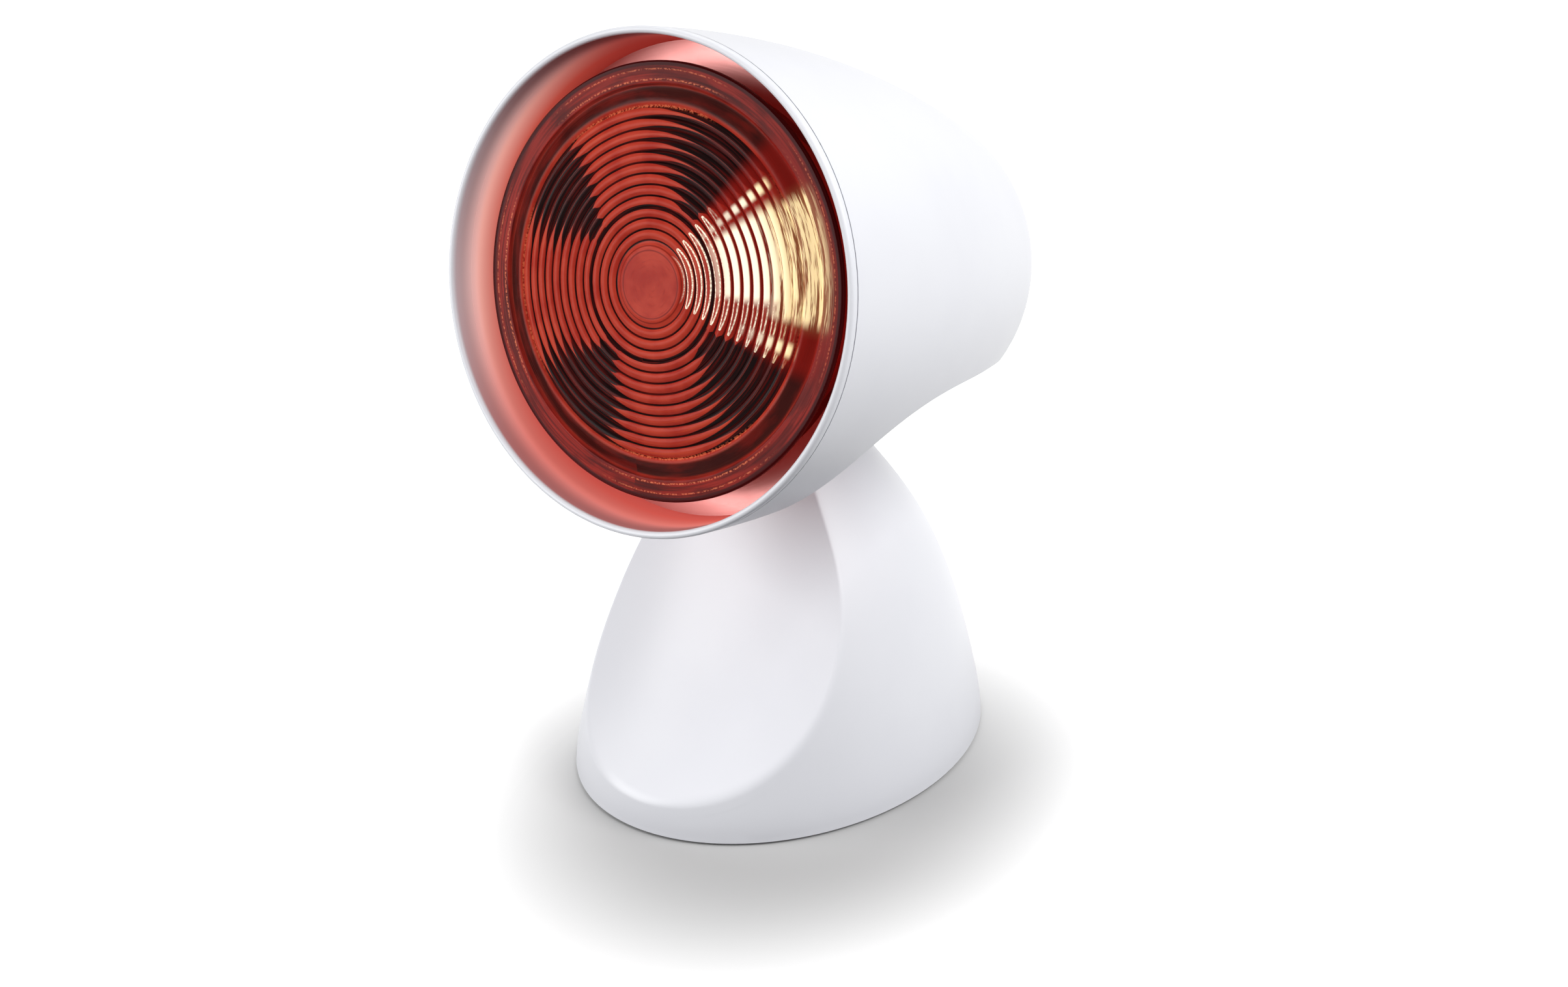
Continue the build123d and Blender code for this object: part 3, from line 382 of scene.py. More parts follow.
def white_plastic(name, painted_red_light):
    material, f, shader = start_material(name, WHITE)
    out = grained(f, WHITE, WHITE_SHADE, grain=0.45, patch=45, patches=0.5, rough=0.33, uneven=0.05)
    colour, rough = out["Colour"], out["Roughness"]
    if painted_red_light:
        place, depth, radius, angle = head_polar(f)
        inside = inner_wall_mask(f, depth, radius)
        tone = painted_bulb_light(f, place, depth, angle)
        colour = f.mix(inside, colour, tone)
        # painted glow: deeper in, the wall gives off its painted red light
        lit = inside * f.step(depth, 3.0, 13.0)
        f.fill(shader, Emission_Color=f.mix(lit, (0, 0, 0), tone), Emission_Strength=0.85)
        rough = f.most(rough, inside * 0.75)
    f.fill(shader, Base_Color=colour, Roughness=rough, Specular_IOR_Level=0.42)
    finish_bump(f, shader, out["Height"], 0.006)
    return material


FINISH["shade_white"] = white_plastic("shade_white", True)
FINISH["base_white"] = white_plastic("body_white", False)
print("white plastic: shade with blush, body plain")

# %% [markdown]
# ## The bulb's red glass
#
# The bulb is one piece of ruby glass, mirrored inside behind its lens. Looked at from outside, the
# lens shows three things at once. Dark hairlines mark the grooves between its ribs. Four dark
# wedges show where the mirror behind reflects the unlit room, and each rib ends in a point as it
# runs into a wedge. On the right the mirror throws a bright window back through the ribs, which
# break it up into pale streaks. Ray tracing all of this through real glass is slow and never
# twice the same, so the finish paints it as fields of radius and angle.

# %% Lens sizes and masks
FIRST_GROOVE, RIB_PITCH, RIB_COUNT = 12.4, 3.1, 12
LAST_GROOVE = FIRST_GROOVE + RIB_PITCH * RIB_COUNT
BAND_END, FLANGE_END = 55.2, 62.2
LENS_RED = (194, 64, 46)
# each painted dark wedge, where the mirror reflects the unlit room, in degrees: its middle, how
# soft it is on either side, and its half width near the disc and far out
DARK_REFLECTION_WEDGES = ((-151.0, 14.0, 18.0, 3.0, 13.0), (-61.0, 20.0, 9.0, 3.0, 10.0),
          (27.0, 42.0, 8.0, 1.0, 9.0), (117.0, 6.0, 34.0, 4.0, 9.0))
# the painted reflection of a bright window on the right: its middle and half width in degrees
WINDOW_MIDDLE, WINDOW_HALF = 70.0, 37.0
# painted bright streaks of the window's reflection
STREAKS_MIDDLE = 71.5  # of the bright part far out
# the painted glints, white blobs at both sides of the window: angle, radius from and to, and half
# width in degrees
PAINTED_GLINTS = ((43.5, 21.0, 49.0, 3.0), (100.5, 33.0, 51.0, 3.6))
# the fine painted highlights, bright circles beyond the ribs: radius, width and strength
HIGHLIGHT_LINES = ((56.9, 0.26, 0.9), (59.8, 0.22, 0.7), (49.6, 0.40, 0.8))


def signed_turn(f, angle, middle):
    """Degrees from a middle to an angle, the short way round."""
    return f.math("WRAP", angle - middle, 180.0, -180.0)


def near(f, value, middle, full, none):
    """1 within full of a middle, falling to 0 at none."""
    return f.fall(abs(value - middle), full, none)


def all_of(f, *masks):
    product = masks[0]
    for mask in masks[1:]:
        product = product * mask
    return product


print("ribs end at", LAST_GROOVE, "mm, wedges at", [wedge[0] for wedge in DARK_REFLECTION_WEDGES], "degrees")

# %% Ribs and wedges
def lens_fields(f):
    place, _, radius, angle = head_polar(f)
    drift = (f.noise(place, 0.05, detail=1.0) - 0.5) * 0.5
    count = (radius + drift - FIRST_GROOVE) / RIB_PITCH
    across = abs(f.math("FRACT", count) - 0.5) * 2.0
    streaks = f.noise(f.join(radius, angle * 0.02, 0.0), 1.6, detail=2.0, rough=0.6)
    return place, radius, angle, across, streaks


def clear_share(f, radius, angle, streaks):
    """How much of each rib stays red: all but the groove, less and less towards a painted dark wedge.
    """
    clear = 0.84 - near(f, radius, 21.7, 0.6, 1.2)
    clear = clear * 0.25 + 0.60
    for middle, soft_low, soft_high, half_in, half_out in DARK_REFLECTION_WEDGES:
        turn = signed_turn(f, angle, middle)
        core = f.step(radius, 22.0, 40.0, half_in, half_out)
        grown = f.step(radius, 20.0, 38.0, 0.35, 1.0)
        low = (turn * -1.0 - core) / (grown * soft_low)
        high = (turn - core) / (grown * soft_high)
        spike = f.step(f.most(low, high) + (streaks - 0.5) * 0.25, 0.0, 1.0)
        clear = clear * f.most(spike, f.fall(radius, 20.0, 26.0))
    return clear


def rib_colour(f, place, radius, across, streaks, clear):
    """Mottled red ribs, painted highlights on their crests, and streaked painted dark where not clear.
    """
    red_part = f.fall(across, clear - 0.07, clear + 0.07)
    ribbed = f.step(radius, 12.0, 12.3) * f.fall(radius, LAST_GROOVE - 0.1, LAST_GROOVE + 0.1)
    mottle = f.noise(place, 0.10, detail=3.0)
    red = f.mix(f.step(mottle, 0.35, 0.7), LENS_RED, (172, 44, 32))
    red = f.mix(f.step(streaks, 0.5, 0.72) * 0.4, red, (146, 26, 20))
    # painted highlight along the crests of the ribs
    crest_highlight = all_of(f, f.fall(across, 0.0, 0.5), f.step(streaks, 0.42, 0.6),
                   f.step(radius, 24.0, 44.0, 0.15, 0.8))
    red = f.mix(crest_highlight * 0.5, red, (222, 92, 60))
    # painted dark for the grooves and for the wedges' reflection of the unlit room
    painted_dark = f.mix(f.step(streaks, 0.42, 0.68), (22, 4, 4), (84, 14, 11))
    return f.mix(ribbed, red, f.mix(red_part, painted_dark, red))


print("ribs ready")

# %% The bright window
def window_light(f, radius, angle, across, streaks):
    """The painted reflection of a bright window on the right: its mask, how yellow it is, its zone."""
    off = (angle - WINDOW_MIDDLE) / WINDOW_HALF
    arch = f.math("SQRT", f.most(1.0 - off * off, 0.0))
    lens_half = arch * 0.52
    broken = f.step(f.noise(f.join(radius, angle * 0.25, 5.0), 2.2, detail=3.0), 0.40, 0.56)
    within = f.math("GREATER_THAN", arch, 0.02)
    # inner ribs: only the outline of each bright sliver
    line = f.fall(abs(across - lens_half), 0.07, 0.19)
    inner = all_of(f, line, within, f.most(broken, 0.45),
                   f.step(radius, 10.8, 12.6), f.fall(radius, 42.0, 50.0))
    keep = f.most(f.fall(radius, 25.0, 32.0), f.math("GREATER_THAN", off, 0.4) * 0.8)
    inner = inner * keep
    # middle ribs: filled slivers
    core = near(f, angle, 68.0, 15.0, 21.0)
    filled = all_of(f, core, f.fall(across, 0.50, 0.72),
                    f.step(radius, 21.0, 28.0), f.fall(radius, 45.0, 49.0))
    # the outer part: fine streaks close together
    fine = f.noise(f.join(radius, angle * 0.04, 7.0), 1.5, detail=3.0, rough=0.7)
    outer = all_of(f, near(f, angle, STREAKS_MIDDLE, 17.0, 21.5), f.step(fine, 0.42, 0.56),
                   f.step(radius, 38.0, 45.0), f.fall(radius, 55.0, 60.0))
    # a painted glint, a white blob, on each rib at both sides
    glint_spots = []
    for middle, low, high, size in PAINTED_GLINTS:
        spot = all_of(f, near(f, angle, middle, 0.6, size), f.fall(across, 0.35, 0.75),
                      f.step(radius, low, high - 6.0, 0.25, 1.0), f.fall(radius, high - 2.0, high),
                      f.step(radius, low - 2.0, low))
        glint_spots.append(spot)
    both = f.most(*glint_spots)
    light = f.most(f.most(inner, filled), f.most(outer, both))
    return f.least(light, 1.0), f.step(radius, 36.0, 48.0), near(f, angle, WINDOW_MIDDLE, 33.0, 40.0)


print("window ready")

# %% The lens's finish
def edge_colour(f, colour, radius, angle, streaks):
    """The nearly black band, with warmer stretches, then the flange and its stippled painted
    highlights.
    """
    band = (f.step(radius, LAST_GROOVE + 0.6, LAST_GROOVE + 1.8)
            * f.fall(radius, BAND_END - 0.6, BAND_END + 0.6))
    cloud = f.noise(f.join(radius * 0.25, angle * 0.05, 2.0), 1.0, detail=4.0)
    colour = f.mix(band * 0.92, colour, f.mix(f.step(cloud, 0.42, 0.66), (30, 10, 10), (98, 22, 18)))
    flange = f.mix(f.step(streaks, 0.4, 0.7), (156, 36, 26), (92, 18, 15))
    flange = f.mix(f.step(cloud, 0.45, 0.6) * 0.6, flange, (66, 12, 12))
    colour = f.mix(f.step(radius, BAND_END - 0.2, BAND_END + 0.6), colour, flange)
    colour = f.mix(f.step(radius, 60.4, 61.0), colour, (70, 12, 14))
    stipple = f.step(f.noise(f.join(radius, angle * 0.9, 3.0), 1.3, detail=2.0), 0.42, 0.6)
    # painted highlights: fine stippled circles, left out where the painted dark wedges are
    for where, width, power in HIGHLIGHT_LINES:
        line = near(f, radius, where, width * 0.3, width * 1.5)
        for middle, _, _, _, half in DARK_REFLECTION_WEDGES:
            line = line * f.step(abs(signed_turn(f, angle, middle)), half, half * 2.4)
        colour = f.mix(all_of(f, line, stipple, power), colour, (236, 124, 84))
    return colour


def ruby_lens():
    material, f, shader = start_material("ruby_lens", LENS_RED)
    place, radius, angle, across, streaks = lens_fields(f)
    clear = clear_share(f, radius, angle, streaks)
    colour = rib_colour(f, place, radius, across, streaks, clear)
    # two fine circles round the plain disc
    for where in (9.6, 10.9):
        colour = f.mix(near(f, radius, where, 0.06, 0.32) * 0.65, colour, (108, 18, 14))
    colour = edge_colour(f, colour, radius, angle, streaks)
    light, yellow, zone = window_light(f, radius, angle, across, streaks)
    # painted reflection of the window: a deeper red behind it, a warm painted glow far out, then its
    # painted highlights
    deep = all_of(f, zone, f.step(radius, 20.0, 30.0), f.fall(radius, 56.0, 61.0))
    colour = f.mix(deep * 0.75, colour, (150, 26, 18))
    glow = all_of(f, near(f, angle, STREAKS_MIDDLE, 15.0, 24.0),
                  f.step(radius, 40.0, 46.0), f.fall(radius, 56.0, 60.0)) * 0.75
    colour = f.mix(glow, colour, (178, 118, 78))
    colour = f.mix(light, colour, f.mix(yellow, (255, 248, 226), (252, 232, 184)))
    # painted glow: the window's painted highlights also give off light
    window_glow = f.mix(light, (0, 0, 0), f.mix(yellow, (255, 240, 205), (250, 215, 150)))
    f.fill(shader, Base_Color=colour, Emission_Color=window_glow, Emission_Strength=0.45,
           Specular_IOR_Level=0.05, Roughness=f.step(streaks, 0.3, 0.7, 0.18, 0.3))
    finish_bump(f, shader, f.noise(place, 1.8, detail=2.0), 0.01)
    return material


FINISH["lens_red"] = ruby_lens()
print("ruby lens:", len(FINISH["lens_red"].node_tree.nodes), "nodes")

# %% Bowl and heat shield
BOWL_RED, SHIELD_GREY = (150, 30, 24), (224, 222, 223)


def ruby_bowl():
    """The stained, mirrored glass behind the lens: red with a painted dark-red glow in front, silvery
    red towards the neck.
    """
    material, f, shader = start_material("ruby_bowl", BOWL_RED)
    place, depth, _, _ = head_polar(f)
    out = grained(f, BOWL_RED, (104, 18, 15), grain=0.7, patch=16, patches=0.6, rough=0.2,
                  uneven=0.06, vector=place)
    neck = f.step(depth, 60.0, 96.0)
    # painted glow: the bowl's front gives off dark red
    f.fill(shader, Base_Color=f.mix(neck, out["Colour"], (176, 92, 84)), Emission_Strength=0.35,
           Emission_Color=f.mix(neck, (120, 18, 14), (0, 0, 0)), Roughness=out["Roughness"],
           Coat_Weight=0.35)
    finish_bump(f, shader, out["Height"], 0.01)
    return material


def spun_shield():
    """Bright rolled aluminium with faint spinning rings, and the bulb's red light painted on its
    front.
    """
    material, f, shader = start_material("spun_shield", SHIELD_GREY)
    place, depth, radius, _ = head_polar(f)
    out = grained(f, SHIELD_GREY, (190, 188, 190), grain=0.6, patch=24, patches=0.5, rough=0.36,
                  uneven=0.12, vector=place)
    rings = f.noise(f.join(depth + radius, 0.0, 0.0), 1.4, detail=2.0)
    # painted red light of the bulb on the shield, fading inwards
    painted_red_light = f.fall(depth, 24.0, 70.0) * 0.75
    f.fill(shader, Base_Color=f.mix(painted_red_light, out["Colour"], (188, 84, 72)), Roughness=out["Roughness"],
           Metallic=0.85)
    finish_bump(f, shader, rings, 0.02)
    return material


FINISH["bulb_glass"], FINISH["shield_metal"] = ruby_bowl(), spun_shield()
print("bowl and shield finished")

# %% [markdown]
# ## Dress the CAD nodes
#
# Pieces whose shape is right keep their node and only get a finish. The node's mesh isn't touched:
# assigning to its material slots is enough. The record names the slot of every node.

# %% Dress the nodes
SLOT_OF = {part["node"]: part["material_slot"] for part in frame["record"]["subparts"]}
for name, slot_name in SLOT_OF.items():
    mesh = nodes[name].data
    mesh.materials.clear()
    mesh.materials.append(FINISH[slot_name])
print("nodes without a finish:", sorted(set(nodes) - set(SLOT_OF)))

# %% [markdown]
# ## Smooth mouldings
#
# A CAD node is made of loose flat triangles. On a large glossy moulding their edges would show as
# facets. A copy is joined up, and its corner normals are taken from the true curved surface, so
# that light runs over it without a break while real edges stay crisp. For the shade the curve is
# known: three circular arcs spun round the axis.

# %% Copies with true normals
def put(name, data):
    """A new object in the scene."""
    made = bpy.data.objects.new(name, data)
    bpy.context.scene.collection.objects.link(made)
    return made


def read(items, attribute, width=3, kind=float):
    """One attribute of every vertex, corner or face as an array."""
    flat = np.empty(len(items) * width, dtype=kind)
    items.foreach_get(attribute, flat)
    return flat.reshape(-1, width) if width > 1 else flat


def smooth(mesh, degrees):
    """Smooth shading, but for edges sharper than an angle."""
    mesh.polygons.foreach_set("use_smooth", [True] * len(mesh.polygons))
    mesh.set_sharp_from_angle(angle=math.radians(degrees))


def merged_copy(name, new_name):
    """A joined-up, smooth copy of a CAD node's mesh."""
    mesh = nodes[name].data.copy()
    mesh.name = new_name
    work = bmesh.new()
    work.from_mesh(mesh)
    bmesh.ops.remove_doubles(work, verts=work.verts, dist=2e-6)
    work.to_mesh(mesh)
    work.free()
    smooth(mesh, 30)
    return put(new_name, mesh)


def set_true_normals(piece, rule, limit):
    """Corner normals from rule(points) -> normals, valid; other corners keep their own."""
    mesh = piece.data
    corner = read(mesh.loops, "vertex_index", 1, np.int32)
    true, valid = rule(read(mesh.vertices, "co"))
    own = read(mesh.corner_normals, "vector")
    sides = read(mesh.polygons, "loop_total", 1, np.int32)
    flat = np.repeat(read(mesh.polygon_normals, "vector"), sides, axis=0)
    close = (flat * true[corner]).sum(axis=1) > math.cos(math.radians(limit))
    use = close & valid[corner]
    own[use] = true[corner][use]
    mesh.normals_split_custom_set(own.tolist())
    return round(float(use.mean()), 3)


print("helpers ready")

# %% The shade's arcs
SIDE_TURN, SHOULDER_TURN, END_RADIUS = math.radians(19.0), math.radians(49.7), 60.0
SHADE_RADIUS, SHADE_LENGTH, WALL = 71.45, 166.0, 2.2
turns = [0.0, SIDE_TURN, SIDE_TURN + SHOULDER_TURN, math.pi / 2]
c1, s1, c2, s2 = math.cos(turns[1]), math.sin(turns[1]), math.cos(turns[2]), math.sin(turns[2])
# two equations, one across the axis and one along it, give the first two radii
across, along = SHADE_RADIUS - END_RADIUS * c2, SHADE_LENGTH - END_RADIUS * (1 - s2)
share = (1 - c1) * (s2 - s1) - (c1 - c2) * s1
side_r = (across * (s2 - s1) - along * (c1 - c2)) / share
shoulder_r = (along * (1 - c1) - across * s1) / share
# each arc: its centre as radius and depth, then its own radius
ARCS = [((SHADE_RADIUS - side_r, 0.0), side_r)]
for cos_turn, sin_turn, radius in ((c1, s1, shoulder_r), (c2, s2, END_RADIUS)):
    (centre_r, centre_d), before = ARCS[-1]
    centre = (centre_r + cos_turn * (before - radius), centre_d + sin_turn * (before - radius))
    ARCS.append((centre, radius))
print("arcs:", [(tuple(round(v, 2) for v in c), round(r, 2)) for c, r in ARCS])


def bell_normals(points, near_wall=0.2):
    """Outward normals of the bell's outer wall, inward ones of its inner wall."""
    head = to_head(points)
    radius, depth = np.hypot(head[:, 0], head[:, 1]), head[:, 2]
    spoke = np.stack([head[:, 0], head[:, 1]], axis=1) / np.maximum(radius, 1e-6)[:, None]
    normal = np.zeros((len(points), 3))
    valid = np.zeros(len(points), bool)
    for i, ((cr, cd), r) in enumerate(ARCS):
        turn = np.arctan2(depth - cd, radius - cr)
        within = (turn >= turns[i] - 1e-3) & (turn <= turns[i + 1] + 1e-3)
        away = np.hypot(depth - cd, radius - cr)
        out = np.cos(turn)[:, None] * spoke
        for inset, sign in ((0.0, 1.0), (WALL, -1.0)):
            hit = within & (np.abs(away - (r - inset)) < near_wall)
            aside = out[:, :1] * np.array([1.0, 0, 0])
            vec = (aside + out[:, 1:2] * UP - np.sin(turn)[:, None] * FORWARD) * sign
            normal[hit], valid[hit] = vec[hit], True
    return normal, valid


shade = merged_copy("shade_shell", "shade_moulding")
print("shade corners on the true bell:", set_true_normals(shade, bell_normals, 40.0))

# %% [markdown]
# ## Place the pieces on their bodies
#
# Every new piece rides on the body that its node belongs to, so that the joints carry it along.

# %% Ride and replace
BODIES = frame["record"]["behaviour"]["bodies"]
BODY_OF = {node: body for body, names in BODIES.items() for node in names}


def adopt(piece, node):
    """Dresses a new piece, puts it on its node's body and lets it stand for the node."""
    piece.data.materials.clear()
    piece.data.materials.append(FINISH[SLOT_OF[node]])
    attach(piece, BODY_OF[node])
    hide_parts(node)


adopt(shade, "shade_shell")
for node_name in ("heat_shield", "bulb_reflector", "lampholder"):
    adopt(merged_copy(node_name, node_name + "_smooth"), node_name)
print("smooth copies placed")

# %% [markdown]
# ## The pressed lens, by Geometry Nodes
#
# The lens is a shallow dome with a plain disc, twelve convex ribs, a smooth band and the flat
# flange where it is sealed to the bowl. Everything on it follows from the distance to the middle,
# so a grid of rows and columns is wrapped round the axis: its row gives a radius, its column an
# angle, and a sum of short rules gives the depth. The numbers of the rule are the tree's inputs,
# so the same tree presses another lens when they change.

# %% Geometry tree helpers
SOCKET_KINDS = {type(None): "NodeSocketMaterial", int: "NodeSocketInt", float: "NodeSocketFloat"}


def start_tree(name, sizes):
    """A geometry tree with named inputs; hands back the tree, its field maker and the inputs."""
    tree = bpy.data.node_groups.new(name, "GeometryNodeTree")
    new_socket = tree.interface.new_socket
    new_socket(name="Geometry", in_out="INPUT", socket_type="NodeSocketGeometry")
    for label, value in sizes.items():
        socket = new_socket(name=label, in_out="INPUT", socket_type=SOCKET_KINDS[type(value)])
        if value is not None:
            socket.default_value = value
    new_socket(name="Geometry", in_out="OUTPUT", socket_type="NodeSocketGeometry")
    f = Fields(tree)
    return tree, f, f.given()


def spin(f, given, rows, place_of):
    """A closed skin round the head's axis: place_of(row) gives each row's radius and depth.

    The skin is then turned to the head's lean, set in metres and given its finish.
    """
    grid = f.node("GeometryNodeMeshGrid")
    columns = given["Columns"] + 0.0
    f.fill(grid, Size_X=rows - 1.0, Size_Y=columns, Vertices_X=rows, Vertices_Y=columns + 1.0)
    x, y, _ = f.split(f.node("GeometryNodeInputPosition").outputs[0])
    row = f.math("ROUND", x + (rows - 1.0) * 0.5)
    turn = (y / columns + 0.5) * (2 * math.pi)
    radius, depth = place_of(row)
    spot = f.join(radius * f.math("SINE", turn), radius * f.math("COSINE", turn), depth * -1.0)
    moved = f.node("GeometryNodeSetPosition")
    f.fill(moved, Geometry=grid.outputs["Mesh"], Position=spot)
    skin = moved.outputs[0]
    for kind, inputs in (
        ("MergeByDistance", {"Distance": 0.002}),
        ("Transform", {"Translation": RIM * MM, "Rotation": HEAD_TURN, "Scale": (MM, MM, MM)}),
        ("SetShadeSmooth", {}), ("RealizeInstances", {}),
        ("SetMaterial", {"Material": given["Finish"]}),
    ):
        made = f.node("GeometryNode" + kind)
        f.fill(made, Geometry=skin, **inputs)
        skin = made.outputs[0]
    f.fill(f.node("NodeGroupOutput"), Geometry=skin)


def grow(name, tree, sizes, start=None):
    """Runs a tree with its named sizes and keeps the result as a plain, outward-facing mesh."""
    piece = put(name, start or bpy.data.meshes.new(name))
    modifier = piece.modifiers.new("shape", "NODES")
    modifier.node_group = tree
    for item in tree.interface.items_tree:
        if item.item_type == "SOCKET" and item.in_out == "INPUT" and item.name in sizes:
            modifier[item.identifier] = sizes[item.name]
    evaluated = piece.evaluated_get(bpy.context.evaluated_depsgraph_get())
    mesh = bpy.data.meshes.new_from_object(evaluated)
    piece.modifiers.remove(modifier)
    piece.data = mesh
    mesh.calc_loop_triangles()
    points = read(mesh.vertices, "co")
    corners = read(mesh.loop_triangles, "vertices", 3, np.int32)
    a, b, c = (points - points.mean(axis=0))[corners].transpose(1, 0, 2)
    volume = float((a * np.cross(b, c)).sum() / 6)
    if volume < 0:
        mesh.flip_normals()
    mesh.set_sharp_from_angle(angle=math.radians(38))
    print(name, len(mesh.loop_triangles), "triangles,", round(abs(volume) * 1e9), "mm3")
    return piece


# %% Lens tree
LENS_SIZES = {"Rim radius": FLANGE_END, "Front depth": 9.3, "Crown": 4.1, "Disc radius": 10.0,
              "First groove": FIRST_GROOVE, "Rib pitch": RIB_PITCH, "Rib count": RIB_COUNT,
              "Rib height": 0.7, "Band end": BAND_END, "Edge": 1.4, "Row step": 0.31,
              "Columns": 256, "Finish": None}
FLANGE_GROOVE, RIM_CHAMFER, EDGE_CHAMFER, BACK_SPARE = 0.8, 0.6, 0.5, 0.8


def lens_tree():
    tree, f, given = start_tree("pressed_lens", LENS_SIZES)
    rim, front, edge, row_step, disc, first, pitch, band = (given[name] for name in (
        "Rim radius", "Front depth", "Edge", "Row step",
        "Disc radius", "First groove", "Rib pitch", "Band end"))
    reach = rim + edge
    rows = f.math("CEIL", reach / row_step) + 2.0

    def place_of(row):
        run = f.least(row * row_step, reach)
        radius = f.least(run, rim)
        # a gentle dome, level over the plain disc and under the flange
        held = f.least(f.most(radius, disc), band)
        share = (held - disc) / (band - disc)
        rise = given["Crown"] * (1.0 - share * share)
        depth = front - rise
        # ribs: a parabola over each pitch, lowest in the grooves
        count = (radius - first) / pitch
        part = f.math("FRACT", count)
        hollow = 1.0 - 4.0 * (part * (1.0 - part))
        last = given["Rib count"] + 0.5
        ribbed = f.math("COMPARE", count, last * 0.5, last * 0.5) * hollow
        # the fall from the disc to the first groove, and from the band to the flange's own groove
        lead = f.step(radius, disc, first) * f.math("LESS_THAN", radius, first)
        band_start = first + last * pitch
        trough = f.step(radius, band_start, band) * f.fall(radius, band, band + FLANGE_GROOVE)
        waves = f.most(ribbed, lead) + trough
        depth = depth + waves * given["Rib height"]
        # the rim's small chamfer and its side, then one row closes the back
        chamfer = f.step(radius, rim - RIM_CHAMFER, rim) * EDGE_CHAMFER
        side = f.most(run - rim - EDGE_CHAMFER, 0.0)
        depth = depth + (chamfer + side)
        closing = f.math("GREATER_THAN", row, rows - 1.5)
        back = front + (edge + BACK_SPARE)
        radius = radius * (1.0 - closing)
        depth = depth * (1.0 - closing) + back * closing
        return radius, depth

    spin(f, given, rows, place_of)
    return tree


lens = grow("pressed_lens", lens_tree(), {**LENS_SIZES, "Finish": FINISH["lens_red"]})
adopt(lens, "bulb_lens")

# %% [markdown]
# ## The front ring, spun from its profile
#
# The ring that closes the shade's mouth has a rounded bead in front and a thin tongue that slips
# into the shade. A lathe would follow one drawn line, and so does this tree: it reads the points
# of a profile, each a radius and a depth, and carries them round the axis.

# %% Ring tree
def spun_tree():
    tree, f, given = start_tree("spun_profile", {"Columns": 256, "Finish": None})
    size = f.node("GeometryNodeAttributeDomainSize")
    f.fill(size, Geometry=given["Geometry"])
    rows = f.math("ADD", size.outputs["Point Count"], 0.0)

    def place_of(row):
        sample = f.node("GeometryNodeSampleIndex", data_type="FLOAT_VECTOR", domain="POINT")
        f.fill(sample, Geometry=given["Geometry"],
               Value=f.node("GeometryNodeInputPosition").outputs[0], Index=row)
        return f.split(sample.outputs["Value"])[:2]

    spin(f, given, rows, place_of)
    return tree


def profile_mesh(name, line):
    mesh = bpy.data.meshes.new(name)
    mesh.from_pydata([(r, d, 0) for r, d in line], [(i, i + 1) for i in range(len(line) - 1)], [])
    return mesh


def bell_radius(depth, inset=0.0):
    return SIDE_CENTRE + math.sqrt((SIDE_RADIUS - inset) ** 2 - depth ** 2)


BEAD, TONGUE_END = 2.3, 7.9
BEAD_HALF, BEAD_RISE = 1.04, 1.15  # half the bead's width, and its rise in front
TONGUE_GAP, TONGUE_THICK = 0.15, 1.1
bead = [(SHADE_RADIUS - BEAD_HALF + BEAD_HALF * math.cos(t), BEAD_RISE - BEAD_RISE * math.sin(t))
        for t in np.linspace(math.pi, 0, 17)]
inner_ends = (SHADE_RADIUS - 2 * BEAD_HALF, bell_radius(TONGUE_END, WALL))
inner_wall = [(float(np.interp(d, (BEAD_RISE, TONGUE_END), inner_ends)), d)
              for d in np.linspace(TONGUE_END, BEAD_RISE, 6)]
tongue = SHADE_RADIUS - TONGUE_THICK - TONGUE_GAP
ring_line = bead + [(SHADE_RADIUS, BEAD), (tongue, BEAD), (tongue, TONGUE_END)] + inner_wall
ring = grow("rim_ring", spun_tree(), {"Columns": 256, "Finish": FINISH["shade_white"]},
            profile_mesh("ring_profile", ring_line))
adopt(ring, "front_ring")

# %% [markdown]
# ## The body and its front panel
#
# The body is an ogive: every level cut is an ellipse of one ratio, and only its width changes with
# height. The front panel is a hollowed face cut across it. Where the two meet, the real moulding
# has a soft ridge, and a soft ridge is what a smooth maximum of the two surfaces gives. So the
# panel is drawn as a height field: for each place across its front, how far back the face lies.
# Rays leave its middle in all directions and stop where the panel's edge is.

# %% The body's width at each height
DEPTH_RATIO = 76.2 / 59.7
NECK_FLOOR, NECK_TOP, COLLAR_WALL = 96.0, 102.0, 1.6
# above the waist the moulding is a little fuller, and goes on to the rim round the joint
WAIST, FULLER = 55.0, ((70.0, 41.4), (80.0, 36.2), (90.0, 29.9), (NECK_FLOOR, 26.3), (NECK_TOP, 22.8))


def points_of(mesh):
    """A mesh's points in millimetres."""
    return read(mesh.vertices, "co") / MM


def outline_of(z, w):
    """The body narrows upwards: a point is on its skin when it is wider than all above it."""
    order = np.argsort(-z)
    z, w = z[order], w[order]
    above = np.concatenate([[0.0], np.maximum.accumulate(w)[:-1]])
    return z[w > above][::-1], w[w > above][::-1]


shell = points_of(nodes["base_housing"].data)
shell = shell[(shell[:, 2] > 2.05) & (shell[:, 2] < NECK_FLOOR + 0.01)]
levels, widest = outline_of(shell[:, 2], np.hypot(shell[:, 0], shell[:, 1] / DEPTH_RATIO))
low = levels < WAIST
full_z, full_w = np.concatenate([np.stack([levels[low], widest[low]]), np.array(FULLER).T], axis=1)
body_half = np.polynomial.Polynomial.fit(full_z, full_w, 8, w=np.where(full_z > WAIST, 5.0, 1.0))
miss = float(np.abs(body_half(full_z) - full_w).max())
print("body width misses its points by at most", round(miss, 3), "mm")


def solid_half(z):
    return np.interp(z, levels, widest)


def body_slope(z):
    return (body_half(z + 0.05) - body_half(z - 0.05)) / 0.1


